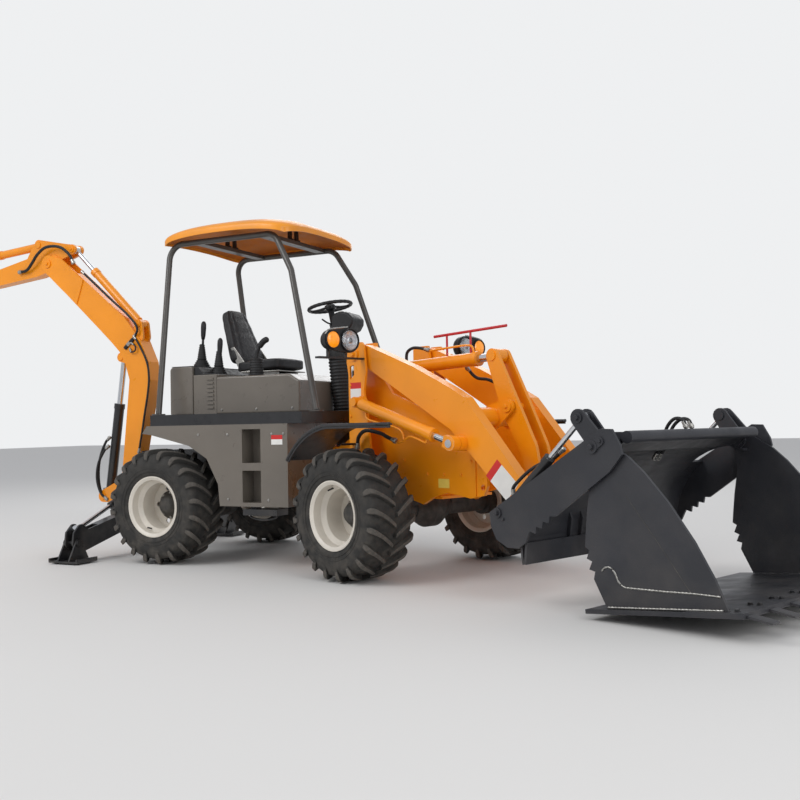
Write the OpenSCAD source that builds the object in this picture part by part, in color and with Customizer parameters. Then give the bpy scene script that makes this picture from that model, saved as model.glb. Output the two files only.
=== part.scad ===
// Small articulated backhoe loader, in millimetres.
// X runs forward along the rear frame, Y to the left, Z up from the ground.
// The design is drawn about the articulation pin and moved to the middle of its footprint at the end.
// Side outlines are lists of [x, z] points. "near" and "far" sides are mirror images at -Y and +Y.

/* [Stance] */
// Turn of the front frame to the right, as parked
turn = 20; // [15:1:25]
// Distance from the articulation pin to the rear axle
rear_axle_x = 955; // [930:1:980]
// Distance from the articulation pin to the front axle
front_axle_x = 950; // [935:1:980]
// Distance of a wheel's middle plane from the middle of the machine
wheel_y = 640; // [620:1:660]
// Distance of the footprint's middle behind the articulation pin
footprint_x = 300; // [250:1:350]
// Distance of the footprint's middle to the right of the articulation pin
footprint_y = 455; // [400:1:500]

/* [Wheels] */
// Outer radius of a tyre over its lugs
tyre_r = 395; // [385:1:400]
// Height of a tread lug
lug_h = 30; // [20:1:36]
// Width of a tyre over its lugs
tyre_w = 345; // [320:1:350]
// Number of lugs on each half of a tyre
lug_count = 20; // [16:1:22]
// Radius of a rim's flange
rim_r = 208; // [200:1:212]
// Width of a rim
rim_w = 320; // [300:1:325]
// Depth of the wheel disc behind the rim's outer flange
dish = 215; // [190:1:225]
// Radius of an axle beam
axle_r = 62; // [50:1:70]

/* [Rear frame] */
// Half distance between the inner faces of the frame rails
rail_in = 200; // [190:1:204]
// Thickness of a frame rail
rail_t = 20; // [12:1:24]
// Height of the underside of the rear frame
rail_z0 = 430; // [420:1:440]
// Height of the top of the rear frame
rail_z1 = 760; // [740:1:770]
// Radius of the articulation pins
steer_pin_r = 25; // [20:1:28]
// Half width over the side bodies
body_y = 720; // [700:1:730]
// Front face of the side bodies
body_front_x = 90; // [60:1:95]
// Top of the side bodies and underside of the deck
body_top_z = 945; // [940:1:950]
// Height of the deck's skirt
deck_h = 75; // [60:1:80]
// Thickness of the deck plate
deck_t = 8; // [5:1:12]
// Half width of the hood below the seat
hood_y = 450; // [430:1:470]
// Height of the seat box above the deck
hood_h = 262; // [240:1:270]

/* [Canopy] */
// Radius of the canopy's tubes
post_r = 21; // [16:1:24]
// Bend radius of the canopy's tubes
post_bend = 110; // [80:5:130]
// Height of the middle of the canopy's top tubes
canopy_z = 2255; // [2200:5:2300]
// Half distance between the posts at the deck
post_foot_y = 600; // [580:1:620]
// Half distance between the top tubes
post_top_y = 405; // [380:1:420]
// Half width of the roof
roof_y = 510; // [480:1:540]
// Rise of the roof from its rim to its crown
roof_rise = 85; // [60:1:100]
// Thickness of the roof moulding
roof_t = 8; // [6:1:12]

/* [Loader] */
// Half distance between the middles of the two arms
arm_y = 302; // [298:1:306]
// Thickness of an arm
arm_t = 76; // [60:1:78]
// Thickness of the tower's outer plates
tower_t = 16; // [10:1:20]
// Clearance beside the arms in the tower
arm_gap = 11; // [6:1:14]
// Radius of the loader's main pins
pin_r = 22; // [16:1:24]
// Radial clearance of a pin in its bore
pin_gap = 0.5; // [0.3:0.1:0.8]
// Distance of the lift cylinders from the middle of the machine
lift_y = 420; // [414:1:424]
// Outer radius of a lift cylinder's barrel
lift_r = 37; // [30:1:38]
// Radius of the cross tube between the arms
cross_r = 57; // [45:1:60]
// Outer radius of the tilt cylinder's barrel
tilt_r = 42; // [34:1:46]
// Half distance between the inner faces of the bellcrank's plates
crank_in = 40; // [36:1:46]
// Thickness of a bellcrank plate
crank_t = 25; // [16:1:26]

/* [Bucket] */
// Half width over the bucket's rear side plates
bucket_y = 730; // [710:1:750]
// Thickness of the bucket's side plates
bucket_t = 15; // [10:1:18]
// Thickness of the bucket's curved back and floor
shell_t = 12; // [8:1:16]
// Radius of the bucket's curved back
back_r = 465; // [450:1:475]
// Number of teeth on the bucket's edge
tooth_count = 8; // [6:1:10]
// Outer radius of a clam cylinder's barrel
clam_r = 25; // [20:1:28]

/* [Backhoe] */
// Width of the boom
boom_w = 120; // [100:2:130]
// Width of the dipper
dipper_w = 100; // [80:2:110]
// Length of the dipper from its pivot to the bucket pin
dipper_len = 1150; // [1000:10:1250]
// Outer radius of the boom cylinder's barrel
boom_cyl_r = 38; // [30:1:40]
// Outer radius of the dipper and bucket cylinders' barrels
dig_cyl_r = 33; // [28:1:36]
// Width of the digging bucket
hoe_w = 400; // [300:10:500]
// Number of teeth on the digging bucket
hoe_teeth = 4; // [3:1:5]
// Radius of the backhoe's pins
hoe_pin_r = 18; // [14:1:20]

/* [Stabilizers] */
// Middle plane of the stabilizers, behind the articulation pin
stab_x = 1580; // [1570:1:1590]
// Size of a stabilizer leg's square tube
leg_w = 80; // [60:1:90]
// Length of a pad along the machine
pad_l = 260; // [200:5:280]
// Width of a pad
pad_w = 200; // [160:5:220]

/* [Hidden] */
$fn = 48;
near = -1;
far = 1;
seat_gap = 0.3;
work_gap = 4;

orange = [0.95, 0.55, 0.08];
charcoal = [0.13, 0.13, 0.14];
taupe = [0.33, 0.31, 0.28];
rim_paint = [0.80, 0.76, 0.68];
chrome_grey = [0.75, 0.76, 0.78];

// Joint places of the loader, in the front frame: [x, z]
arm_pivot = [680, 1375];
arm_end = [2120, 420];
lift_base = [762, 1068];
lift_eye = [1575, 810];
tilt_base = [700, 1290];
tilt_eye = [1574, 1322];
crank_pivot = [1705, 1017];
crank_low = [1900, 520];
link_eye = [2290, 580];
clam_pivot = [2754, 804];
clam_base = [2170, 470];
clam_eye = [2658, 940];
// Rearmost and highest reach of the bucket's curved back
back_rear_x = 2315;
back_top_z = 775;
back_mid = [back_rear_x + back_r, back_top_z - back_r];
cross_mid = [1588, 957];
// Joint places of the backhoe, in the rear frame: [x, z]
king_x = -1690;
boom_pivot = [-1835, 500];
boom_base = [-2060, 400];
boom_eye = [-1892, 1499];
dipper_pivot = [-2640, 2305];
dipper_base = [-1712, 1751];
dipper_eye = [-2395, 2407];
// The dipper's slope below the level, to the rear
dipper_drop = 7;
// Joint places on the dipper, along it and above it from its pivot
hoe_base = [100, 184];
rocker_pivot = [dipper_len - 250, 0];
rocker_len = 260;
rocker_lean = 62;
hoe_pin_len = 160;
hoe_pin_lean = 51.6;
// Joint places of a stabilizer: [y, z] at its near side
leg_pivot = [-220, 292];
leg_foot = [-900, 140];
leg_cyl_base = [-120, 539];
leg_cyl_eye = [-858, 232];

// Moves a piece from the articulation pin to the middle of the footprint
module place() translate([footprint_x, footprint_y, 0]) children();
module rear() place() children();
module front() place() rotate([0, 0, -turn]) children();

// A flat outline of [x, z] points as a plate of thickness t whose middle is at y
module plate(y, t) translate([0, y + t / 2, 0]) rotate([90, 0, 0]) linear_extrude(t) children();
// Both sides alike
module both() { children(); mirror([0, 1, 0]) children(); }
// A round bar across the machine, at p = [x, z], from y0 to y1
module bar(p, y0, y1, r) translate([p[0], y0, p[1]]) rotate([-90, 0, 0]) cylinder(h = y1 - y0, r = r);
// A round bar between two points of a side plane at y
module rod_in(p, q, y, r) let (d = q - p)
    translate([p[0], y, p[1]]) rotate([0, atan2(d[0], d[1]), 0]) cylinder(h = norm(d), r = r);
function along(p, q, s) = p + (q - p) * s / norm(q - p);
// A point on an outline's arc
function arc(c, r, a0, a1, n) = [for (i = [0:n]) c + r * [cos(a0 + (a1 - a0) * i / n), sin(a0 + (a1 - a0) * i / n)]];
// The outline of a tapered link with round ends
function link_pts(p, q, r1, r2, n = 10) = let (d = q - p, a = atan2(d[1], d[0]), o = acos((r1 - r2) / norm(d)))
    concat(arc(p, r1, a + o, a + 360 - o, n), arc(q, r2, a - o, a + o, n));
module link_2d(p, q, r1, r2) polygon(link_pts(p, q, r1, r2));
module disc_2d(p, r) translate(p) circle(r);
function turned(v, a) = [v[0] * cos(a) - v[1] * sin(a), v[0] * sin(a) + v[1] * cos(a)];

// Box from one corner to the other
module box(a, b) translate(a) cube(b - a);

// A round tube along a flat path of points, with round bends and a slight bead at each end of a bend
module bent_tube(pts, bend, r) {
    n = len(pts) - 1;
    dir = [for (i = [0:n - 1]) (pts[i + 1] - pts[i]) / norm(pts[i + 1] - pts[i])];
    ang = [for (d = dir) atan2(d[1], d[0])];
    turn_at = [for (i = [0:n]) (i == 0 || i == n) ? 0 : (ang[i] - ang[i - 1] + 540) % 360 - 180];
    cut = [for (t = turn_at) bend * tan(abs(t) / 2)];
    for (i = [0:n - 1]) let (a = pts[i] + dir[i] * cut[i], b = pts[i + 1] - dir[i] * cut[i + 1]) {
        translate([a[0], a[1], 0]) rotate([0, 90, ang[i]]) cylinder(h = norm(b - a), r = r);
        if (i > 0) translate([a[0], a[1], 0]) sphere(r = r + 0.5);
        if (i < n - 1) translate([b[0], b[1], 0]) sphere(r = r + 0.5);
    }
    for (i = [1:1:n - 1]) let (s = sign(turn_at[i]), a = pts[i] - dir[i - 1] * cut[i],
            side = s * [-dir[i - 1][1], dir[i - 1][0]], c = a + side * bend,
            start = s > 0 ? ang[i - 1] - 90 : ang[i] + 90)
        translate([c[0], c[1], 0]) rotate([0, 0, start])
            rotate_extrude(angle = abs(turn_at[i])) translate([bend, 0]) circle(r);
}

// A cylinder's barrel in a side plane: its base eye has a bore, and a bore takes the rod
module barrel(base, eye, y, r, len, rod_r, eye_r, eye_w, bore_r) difference() {
    union() {
        bar(base, y - eye_w / 2, y + eye_w / 2, eye_r);
        rod_in(along(base, eye, eye_r * 0.8), along(base, eye, eye_r + 12), y, eye_w / 2 - 1);
        rod_in(along(base, eye, eye_r + 10), along(base, eye, len), y, r);
        rod_in(along(base, eye, len - 40), along(base, eye, len), y, r + 4);
    }
    bar(base, y - eye_w, y + eye_w, bore_r);
    rod_in(along(base, eye, eye_r + 25), along(base, eye, len + 1), y, rod_r + pin_gap);
}
// A cylinder's rod: it starts inside the barrel and ends in a solid eye
module rod(base, eye, y, rod_r, start, eye_r, eye_w) {
    rod_in(along(base, eye, start), along(base, eye, norm(eye - base) - eye_r * 0.7), y, rod_r);
    bar(eye, y - eye_w / 2, y + eye_w / 2, eye_r);
}

// Wheels

side_wall_r = tyre_r - lug_h;
rim_seat_r = rim_r - 18;
lug_step = 360 / lug_count;
function two(a, b, c, d) = [[a, b, c], [a, c, d]];
// A tyre with chevron lugs, staggered by half a pitch. Each side has 3 rings over the tread, where a lug has 4 corners,
// and 3 rings down the side wall and the bead, with 2 corners to a lug
module tyre() {
    half = tyre_w / 2;
    h = rim_w / 2;
    n = lug_count;
    lead = 15;
    // [distance from the middle, groove radius, lug radius, share of the lead]
    tread = [[0, side_wall_r, tyre_r, 0], [half - 30, side_wall_r - 8, tyre_r - 7, 0.85], [half, side_wall_r - 42, side_wall_r - 18, 1]];
    // [distance from the middle, radius of the flats]
    wall = [[half - 3, 272], [h - 7.4, rim_r + seat_gap], [h - 14.4, rim_seat_r + seat_gap]];
    // A lug's corners: [degrees from its middle, 0 in the groove or 1 on top]
    corners = [[-3.4, 0], [-2.1, 1], [2.1, 1], [3.4, 0]];
    function mid(k, s) = (k + s / 2) * lug_step;
    points = [for (s = [0, 1]) each concat(
        [for (t = tread, k = [0:n - 1], c = corners)
            let (a = mid(k, s) + (t[3] - 0.5) * lead + c[0], r = t[1 + c[1]]) [r * cos(a), (2 * s - 1) * t[0], r * sin(a)]],
        [for (w = wall, j = [0:2 * n - 1])
            let (a = mid(j / 2 - 0.25, s) + lead / 2, r = w[1] / cos(lug_step / 4)) [r * cos(a), (2 * s - 1) * w[0], r * sin(a)]])];
    function on_lug(s, i, k, c) = s * 18 * n + (i * n + k % n) * 4 + c;
    function on_wall(s, i, j) = s * 18 * n + (6 + i) * 2 * n + (j + 2 * n) % (2 * n);
    function side_faces(s) = concat(
        [for (k = [0:n - 1], i = [0, 1], c = [0:2]) each two(on_lug(s, i, k, c), on_lug(s, i, k, c + 1),
            on_lug(s, i + 1, k, c + 1), on_lug(s, i + 1, k, c))],
        [for (k = [0:n - 1]) each two(on_lug(s, 1, k, 3), on_lug(s, 1, k + 1, 0), on_lug(s, 2, k + 1, 0), on_lug(s, 2, k, 3))],
        // The groove at the middle, where the other side's lug ends
        [for (k = [0:n - 1]) let (a = on_lug(s, 0, k, 3), b = on_lug(s, 0, k + 1, 0), c = on_lug(s, 1, k + 1, 0),
            d = on_lug(s, 1, k, 3), p = on_lug(1 - s, 0, k + s, 0), q = on_lug(1 - s, 0, k + s, 3))
            each [[a, p, d], [p, q, d], [q, c, d], [q, b, c]]],
        [for (k = [0:n - 1]) each two(on_lug(s, 0, k, 1), on_lug(s, 0, k, 0), on_lug(s, 0, k, 3), on_lug(s, 0, k, 2))],
        [for (k = [0:n - 1]) let (a = on_lug(s, 2, k, 0), b = on_lug(s, 2, k, 1), c = on_lug(s, 2, k, 2),
            d = on_lug(s, 2, k, 3), e = on_lug(s, 2, k + 1, 0), p = on_wall(s, 0, 2 * k), q = on_wall(s, 0, 2 * k + 1),
            o = on_wall(s, 0, 2 * k + 2)) each [[a, b, p], [b, c, p], [c, q, p], [c, d, q], [d, e, q], [e, o, q]]],
        [for (i = [0, 1], j = [0:2 * n - 1]) each two(on_wall(s, i, j), on_wall(s, i, j + 1), on_wall(s, i + 1, j + 1), on_wall(s, i + 1, j))]);
    near_side = side_faces(0);
    far_side = [for (f = side_faces(1)) [f[2], f[1], f[0]]];
    bore = [for (j = [0:2 * n - 1]) each two(on_wall(0, 2, j), on_wall(0, 2, j + 1), on_wall(1, 2, j), on_wall(1, 2, j - 1))];
    polyhedron(points, concat(near_side, far_side, bore));
}
// A rim's profile is [radius, distance outward from the tyre's middle plane]
module rim() {
    h = rim_w / 2;
    t = 7;
    seat_r = rim_seat_r;
    well_r = seat_r - 26;
    disc_y = h - dish;
    difference() {
        union() {
            rotate([90, 0, 0]) rotate_extrude() polygon([
                [rim_r - t, h], [rim_r, h], [rim_r, h - t], [seat_r, h - 14], [seat_r - 2, h - 60], [well_r, h - 84],
                [well_r, 84 - h], [seat_r - 2, 60 - h], [seat_r, 14 - h], [rim_r, t - h], [rim_r, -h], [rim_r - t, -h],
                [seat_r - t, 10 - h], [seat_r - t - 2, 64 - h], [well_r - t, 90 - h],
                [well_r - t, h - 90], [seat_r - t - 2, h - 64], [seat_r - t, h - 10]]);
            rotate([90, 0, 0]) translate([0, 0, disc_y - 5]) cylinder(h = 12, r = well_r - 2);
            rotate([90, 0, 0]) translate([0, 0, disc_y + 7]) cylinder(h = 34, r1 = 66, r2 = 52);
        }
        for (i = [0:4]) rotate([0, 36 + i * 72, 0]) translate([118, 0, 0]) rotate([90, 0, 0])
            translate([0, 0, disc_y - 10]) cylinder(h = 30, r = 17);
    }
}
module at_wheel(x, side) translate([x, side * wheel_y, tyre_r]) children();
module faced(side) mirror([0, side > 0 ? 1 : 0, 0]) children();

// An axle beam with its middle housing and its hub flanges, which end just inside the wheel discs
module axle() {
    hub_y = wheel_y - (dish - rim_w / 2) - 5 - seat_gap;
    bar([0, 0], -hub_y + 60, hub_y - 60, axle_r);
    both() bar([0, 0], hub_y - 70, hub_y, 86);
    both() rotate([-90, 0, 0]) translate([0, 0, 40]) cylinder(h = 108, r1 = 128, r2 = axle_r + 6);
    bar([0, 0], -40, 40, 128);
    both() translate([-70, 150, 20]) cube([140, 90, 52]);
}

// Rear frame

// The engine's underside, above the axle
engine_z = tyre_r + 135;
back_wall_z = 650;
box_x0 = -1638;
box_x1 = -1522;
module rear_frame() color(charcoal) rear() {
    rail_out = rail_in + rail_t;
    difference() {
        union() {
            both() plate(rail_in + rail_t / 2, rail_t) polygon([
                [-150, rail_z0 + 40], [-150, rail_z1], [box_x1 - 2, rail_z1], [box_x1 - 2, 330], [-1440, 330],
                [-1340, 440], [-1180, tyre_r + 72], [-760, tyre_r + 72], [-640, rail_z0]]);
            // Cross members: one above the swing cylinder, two under the engine
            box([-1340, -rail_in, swing_z + 50], [-1320, rail_in, 690]);
            for (x = [-720, -500]) box([x, -rail_in, engine_z - 50], [x + 40, rail_in, engine_z - seat_gap]);
            // Steering lugs and the wall behind them
            for (z = [400, rail_z1 - 30]) linear_plate(z, 26) polygon(concat(
                [[-190, -rail_in], [-150, -rail_in]], arc([0, 0], 48, -75, 75, 8), [[-150, rail_in], [-190, rail_in]]));
            box([-190, -rail_in, 400], [-170, rail_in, rail_z1]);
            both() box([-190, rail_in, 400], [-150, rail_out, 480]);
            // Cross box of the stabilizers: two walls, a middle web and end straps
            for (w = [[box_x0 + 6, back_wall_z], [box_x1 - 6, rail_z1]]) cross_plate(w[0], 12) polygon([
                [-290, 232], [290, 232], [290, 360], [230, w[1]], [-230, w[1]], [-290, 360]]);
            box([box_x0, -8, 232], [box_x1, 8, back_wall_z]);
            box([box_x0 + 30, -8, 232], [box_x1, 8, rail_z1]);
            box([box_x0, -140, 232], [box_x1, 140, 244]);
            box([box_x0 + 30, -100, rail_z1 - 12], [box_x1, 100, rail_z1]);
            both() x_bar(leg_pivot, box_x0 - 8, box_x1 + 8, 20);
            both() x_bar(leg_cyl_base, box_x0 - 2, box_x1 + 8, 14);
            both() for (x = [box_x0 + 12, -stab_x + leg_eye_w / 2 + 1])
                x_bar(leg_cyl_base, x, x + (box_x1 - box_x0 - 24 - leg_eye_w) / 2 - 1, 24);
            // Swing cylinder's mount
            for (z = [swing_z - 26 - 14, swing_z + 26]) box([-1185, 55, z], [-1115, rail_in, z + 14]);
            // Axle seats
            both() box([-rear_axle_x - 70, 150, tyre_r + 72], [-rear_axle_x + 70, rail_in, tyre_r + 92]);
        }
        for (z = [400, rail_z1 - 30]) translate([0, 0, z - 10]) cylinder(h = 60, r = steer_pin_r + pin_gap);
        // Tie-down holes at the back
        both() bar([-1480, 400], rail_in - 1, rail_out + 1, 20);
        // Windows for the swing cylinder and for the post's swing ears
        box([box_x1 - 20, 20, swing_z - 24], [box_x1 + 2, 158, swing_z + 24]);
        box([box_x0 - 1, -36, swing_z - 56], [box_x0 + 100, 160, swing_z + 56]);
    }
    // Swing mount, seated on the cross box: two lugs with the king pin
    for (z = [king_z0 - 32, king_z1]) linear_plate(z, 32) polygon(concat(
        [[box_x0 - seat_gap, 60], [box_x0 - seat_gap, -60]], arc([king_x, 0], 42, 270, 90, 10)));
    translate([king_x, 0, king_z0 - 40]) cylinder(h = king_z1 - king_z0 + 80, r = king_r);
    for (z = [king_z0 - 42, king_z1 + 32]) translate([king_x, 0, z]) cylinder(h = 10, r = 32);
    translate([swing_base[0], swing_base[1], swing_z - 40]) cylinder(h = 84, r = 14);
}
module linear_plate(z, t) translate([0, 0, z]) linear_extrude(t) children();

module rear_axle() color(charcoal) rear() translate([-rear_axle_x, 0, tyre_r]) axle();

module engine() color(charcoal) rear()
    box([-1040, -150, engine_z], [-400, 150, body_top_z - 20]);

// Side bodies over and between the wheels, with step recesses
body_low_z = 404;
step_x0 = -264;
step_x1 = -118;
module side_bodies() color(taupe) rear() both() difference() {
    plate((rail_in + rail_t + body_y) / 2, body_y - rail_in - rail_t) polygon([
        [-1104, 893], [-1063, body_top_z], [body_front_x, body_top_z], [body_front_x, body_low_z],
        [-449, body_low_z], [-462, 549], [-553, 719], [-701, 806], [-1030, 884]]);
    // Room for the front frame as it swings
    translate([0, 0, 300]) cylinder(h = 510, r = 300);
    rotate([0, 0, steer_max]) box([0, 0, 300], [600, chassis_in + chassis_t + 8, 810]);
    box([step_x0, body_y - 130, 690], [step_x1, body_y + 1, 912]);
    box([step_x0, body_y - 130, 430], [step_x1, body_y + 1, 640]);
}

module deck() color(charcoal) rear() {
    z0 = body_top_z;
    z1 = z0 + deck_h;
    outline = [[-1030, -body_y], [200, -body_y], [280, -600], [400, -400], [400, 400], [280, 600], [200, body_y], [-1030, body_y]];
    linear_plate(z1 - deck_t, deck_t) polygon(outline);
    linear_plate(z0, deck_h - deck_t) difference() {
        polygon(outline);
        polygon([for (p = outline) [p[0] + (p[0] < -900 ? 14 : -14), p[1] - sign(p[1]) * 14]]);
    }
    // Step below the side body
    both() box([-255, body_y - 120, 348], [10, body_y + 12, 388]);
    both() box([-240, body_y - 100, 388], [-200, body_y - 60, body_low_z]);
}

deck_z = body_top_z + deck_h;
hood_top = deck_z + hood_h;
module hood() color(taupe) rear() difference() {
    union() {
        plate(0, hood_y * 2) polygon([[-668, deck_z], [17, deck_z], [17, hood_top - 48], [-63, hood_top], [-668, hood_top]]);
        plate(0, hood_y * 2 - 20) polygon([[-875, deck_z], [-668, deck_z], [-668, hood_top + 20], [-875, hood_top + 20]]);
        plate(0, hood_y * 2) polygon([[-1076, deck_z], [-875, deck_z], [-875, deck_z + 345], [-1062, deck_z + 345], [-1076, deck_z + 330]]);
    }
    for (i = [0:5]) both() box([-745, hood_y - 20, deck_z + 50 + i * 36], [-690, hood_y, deck_z + 66 + i * 36]);
}

// Canopy: a bent tube on each side, leaning inward, two cross bars and a domed roof
module canopy_frame() color([0.35, 0.35, 0.36]) rear() {
    lean = atan2(post_foot_y - post_top_y, canopy_z - deck_z);
    foot = 9;
    rise = (canopy_z - deck_z - foot) / cos(lean);
    both() translate([0, post_foot_y, deck_z + foot]) rotate([lean, 0, 0]) rotate([90, 0, 0])
        bent_tube([[-1055, 0], [-1085, rise], [-190, rise], [-30, rise - 276], [240, 0]], post_bend, post_r);
    both() for (x = [-1055, 240]) translate([x, post_foot_y, deck_z]) cylinder(h = 10, r = 46);
    for (x = [-880, -330]) box([x, -post_top_y, canopy_z - 14], [x + 70, post_top_y, canopy_z + 14]);
}

roof_x0 = -1140;
roof_x1 = -60;
module canopy_roof() color(orange) rear() {
    z0 = canopy_z + post_r + seat_gap;
    difference() {
        roof_solid(z0, 0);
        roof_solid(z0 - 1, roof_t);
    }
    for (x = [-870, -320]) box([x, -60, z0 - 7], [x + 50, 60, z0 + roof_rise - roof_t]);
}
// A low dome: an arched side outline and an arched front outline, cut to a plan with clipped corners
module roof_solid(z0, inset) intersection() {
    a = roof_x0 + inset;
    b = roof_x1 - inset;
    w = roof_y - inset;
    h = roof_rise - inset;
    plate(0, 2 * w) polygon([[a, z0 - 34], [a + 4, z0 - 4], [a + 30, z0 + h * 0.42], [a + 90, z0 + h * 0.72],
        [a + 220, z0 + h * 0.93], [a + 380, z0 + h], [b - 380, z0 + h], [b - 220, z0 + h * 0.93],
        [b - 90, z0 + h * 0.72], [b - 30, z0 + h * 0.42], [b - 4, z0 - 4], [b, z0 - 34]]);
    cross_plate((a + b) / 2, b - a) polygon([[-w, z0 - 34], [-w + 4, z0 - 4], [-w + 30, z0 + h * 0.42],
        [-w + 90, z0 + h * 0.72], [-w + 220, z0 + h * 0.93], [-w + 380, z0 + h], [w - 380, z0 + h],
        [w - 220, z0 + h * 0.93], [w - 90, z0 + h * 0.72], [w - 30, z0 + h * 0.42], [w - 4, z0 - 4], [w, z0 - 34]]);
    linear_plate(z0 - 40, roof_rise + 60) polygon([[a + 70, -w], [b - 70, -w], [b - 22, -w + 22], [b, -w + 70],
        [b, w - 70], [b - 22, w - 22], [b - 70, w], [a + 70, w], [a + 22, w - 22], [a, w - 70], [a, 70 - w],
        [a + 22, 22 - w]]);
}

module seat() color([0.06, 0.06, 0.065]) rear() {
    z0 = hood_top;
    box([-620, -150, z0], [-350, 150, z0 + 40]);
    plate(0, 400) polygon([[-640, z0 + 40], [-330, z0 + 40], [-298, z0 + 70], [-318, z0 + 130], [-600, z0 + 115], [-650, z0 + 140],
        [-760, z0 + 480], [-790, z0 + 515], [-830, z0 + 500], [-840, z0 + 470], [-730, z0 + 90]]);
    both() translate([0, 182, 0]) plate(0, 56) polygon([[-600, z0 + 115], [-560, z0 + 150], [-700, z0 + 460], [-760, z0 + 480]]);
}

module steering_column() color(charcoal) rear() {
    base = [92, deck_z];
    head = [60, 1400];
    translate([base[0], 0, base[1]]) cylinder(h = 14, r = 72);
    for (i = [0:7]) let (z = deck_z + 14 + i * 44) translate([92 - i * 3, 0, z]) cylinder(h = 44, r1 = 56, r2 = 46);
    rod_in([60, 1380], [40, 1600], 0, 30);
    plate(0, 200) polygon([[0, 1575], [110, 1548], [225, 1600], [238, 1675], [165, 1724], [10, 1708]]);
    wheel_mid = [5, 1772];
    rod_in([10, 1700], wheel_mid, 0, 18);
    translate([wheel_mid[0], 0, wheel_mid[1]]) rotate([0, -10, 0]) {
        rotate_extrude() translate([152, 0]) circle(13, $fn = 16);
        translate([0, 0, -12]) cylinder(h = 26, r = 40);
        for (i = [0:2]) rotate([0, 0, 60 + i * 120]) translate([0, -14, -6]) cube([146, 28, 12]);
    }
}

module control_levers() color([0.06, 0.06, 0.065]) rear() {
    // Two levers behind the seat, a joystick beside it: [x, y, foot z, height, lean]
    levers = [[-980, -200, deck_z + 345, 350, 4], [-800, -238, hood_top + 20, 270, 4], [-390, -330, hood_top, 250, -8]];
    for (l = levers) translate([l[0], l[1], l[2]]) {
        cylinder(h = 12, r = 48);
        translate([0, 0, 12]) cylinder(h = 80, r1 = 44, r2 = 16);
        rotate([0, l[4], 0]) translate([0, 0, 20]) cylinder(h = l[3] - 80, r = 8);
        rotate([0, l[4], 0]) translate([0, 0, l[3] - 110]) cylinder(h = 100, r1 = 14, r2 = 20);
    }
}

// Front frame

chassis_in = 225;
chassis_t = 24;
tower_in = arm_y + arm_t / 2 + arm_gap;
tower_out = tower_in + tower_t;
tower_x0 = 615;
tower_x1 = 770;
module tower_2d() difference() {
    polygon([[tower_x0 + 6, 640], [tower_x0 + 6, 1250], [tower_x0 - 10, 1330], [tower_x0 + 5, 1430], [tower_x0 + 50, 1450],
        [tower_x1 - 20, 1450], [tower_x1, 1430], [tower_x1 + 18, 1262], [tower_x1 - 5, 1140], [tower_x1 + 20, 1000], [tower_x1 + 60, 700], [tower_x1 + 40, 640]]);
    polygon([[tower_x0 + 22, 1215], [tower_x0 + 60, 1245], [tower_x0 + 60, 1310], [tower_x0 + 18, 1300]]);
}
module front_frame() color(orange) front() difference() {
    union() {
        both() plate(chassis_in + chassis_t / 2, chassis_t) polygon([
            [130, 470], [130, 690], [420, 800], [600, 900], [tower_x0, 1250], [tower_x0, 1430], [tower_x0 + 50, 1450],
            [tower_x1 - 20, 1450], [tower_x1 + 18, 1262], [900, 1120], [1250, 990], [1680, 770], [1680, 560], [1655, 505],
            [1549, 485], [1460, 500], [1363, 511], [1260, 485], [1160, 434], [1030, tyre_r + 72], [870, tyre_r + 72], [760, 430], [300, 430]]);
        both() plate(tower_in + tower_t / 2, tower_t) tower_2d();
        // Webs that tie the outer plates to the chassis, clear of the arms
        both() box([tower_x0 + 6, chassis_in + chassis_t, 640], [tower_x0 + 22, tower_in, 1180]);
        both() box([tower_x0 + 6, chassis_in + chassis_t, 640], [tower_x1 + 50, tower_in, 656]);
        // Cross walls
        box([tower_x0 + 10, -chassis_in, 640], [tower_x0 + 26, chassis_in, 1240]);
        box([300, -chassis_in, 440], [316, chassis_in, 740]);
        box([820, -chassis_in, 640], [836, chassis_in, 1050]);
        box([1100, -chassis_in, 470], [1300, chassis_in, 486]);
        // Steering forks round the rear frame's lugs
        for (z = [376, 430, rail_z1 - 30 - 24, rail_z1]) linear_plate(z, 20) polygon(concat(
            [[320, chassis_in]], [[130, chassis_in]], arc([0, 0], 44, 100, 260, 8), [[130, -chassis_in], [320, -chassis_in]]));
        both() box([130, chassis_in - 30, 376], [316, chassis_in, rail_z1 + 20]);
        both() box([130, chassis_in, 440], [316, chassis_in + chassis_t, 700]);
        for (z = [370, rail_z1 - 60]) translate([0, 0, z]) cylinder(h = 92, r = steer_pin_r);
        for (z = [364, rail_z1 - 66, 450, rail_z1 + 20]) translate([0, 0, z]) cylinder(h = 12, r = 34);
        // Arm pins, lift cylinder pins, tilt cylinder pin and its cheeks
        both() bar(arm_pivot, chassis_in, tower_out + 12, pin_r);
        both() bar(arm_pivot, tower_out, tower_out + 12, 40);
        both() bar(lift_base, tower_in, lift_y + 34, 17);
        both() bar(lift_base, tower_out, lift_y - 31, 40);
        both() bar(lift_base, lift_y + 30.5, lift_y + 40, 28);
        both() plate(52, 20) link_2d([tower_x0 + 20, 1210], tilt_base, 40, 38);
        bar(tilt_base, -62, 62, 20);
        // Axle seats
        both() box([front_axle_x - 70, 150, tyre_r + 72], [front_axle_x + 70, chassis_in, tyre_r + 92]);
        // Hitch cheek stiffeners seen at the front
        both() box([1590, chassis_in + chassis_t, 500], [1600, chassis_in + chassis_t + 8, 800]);
    }
    // Tie-down holes
    both() bar([1649, 552], chassis_in - 1, chassis_in + chassis_t + 1, 17);
}

module front_axle() color(charcoal) front() translate([front_axle_x, 0, tyre_r]) axle();

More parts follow.
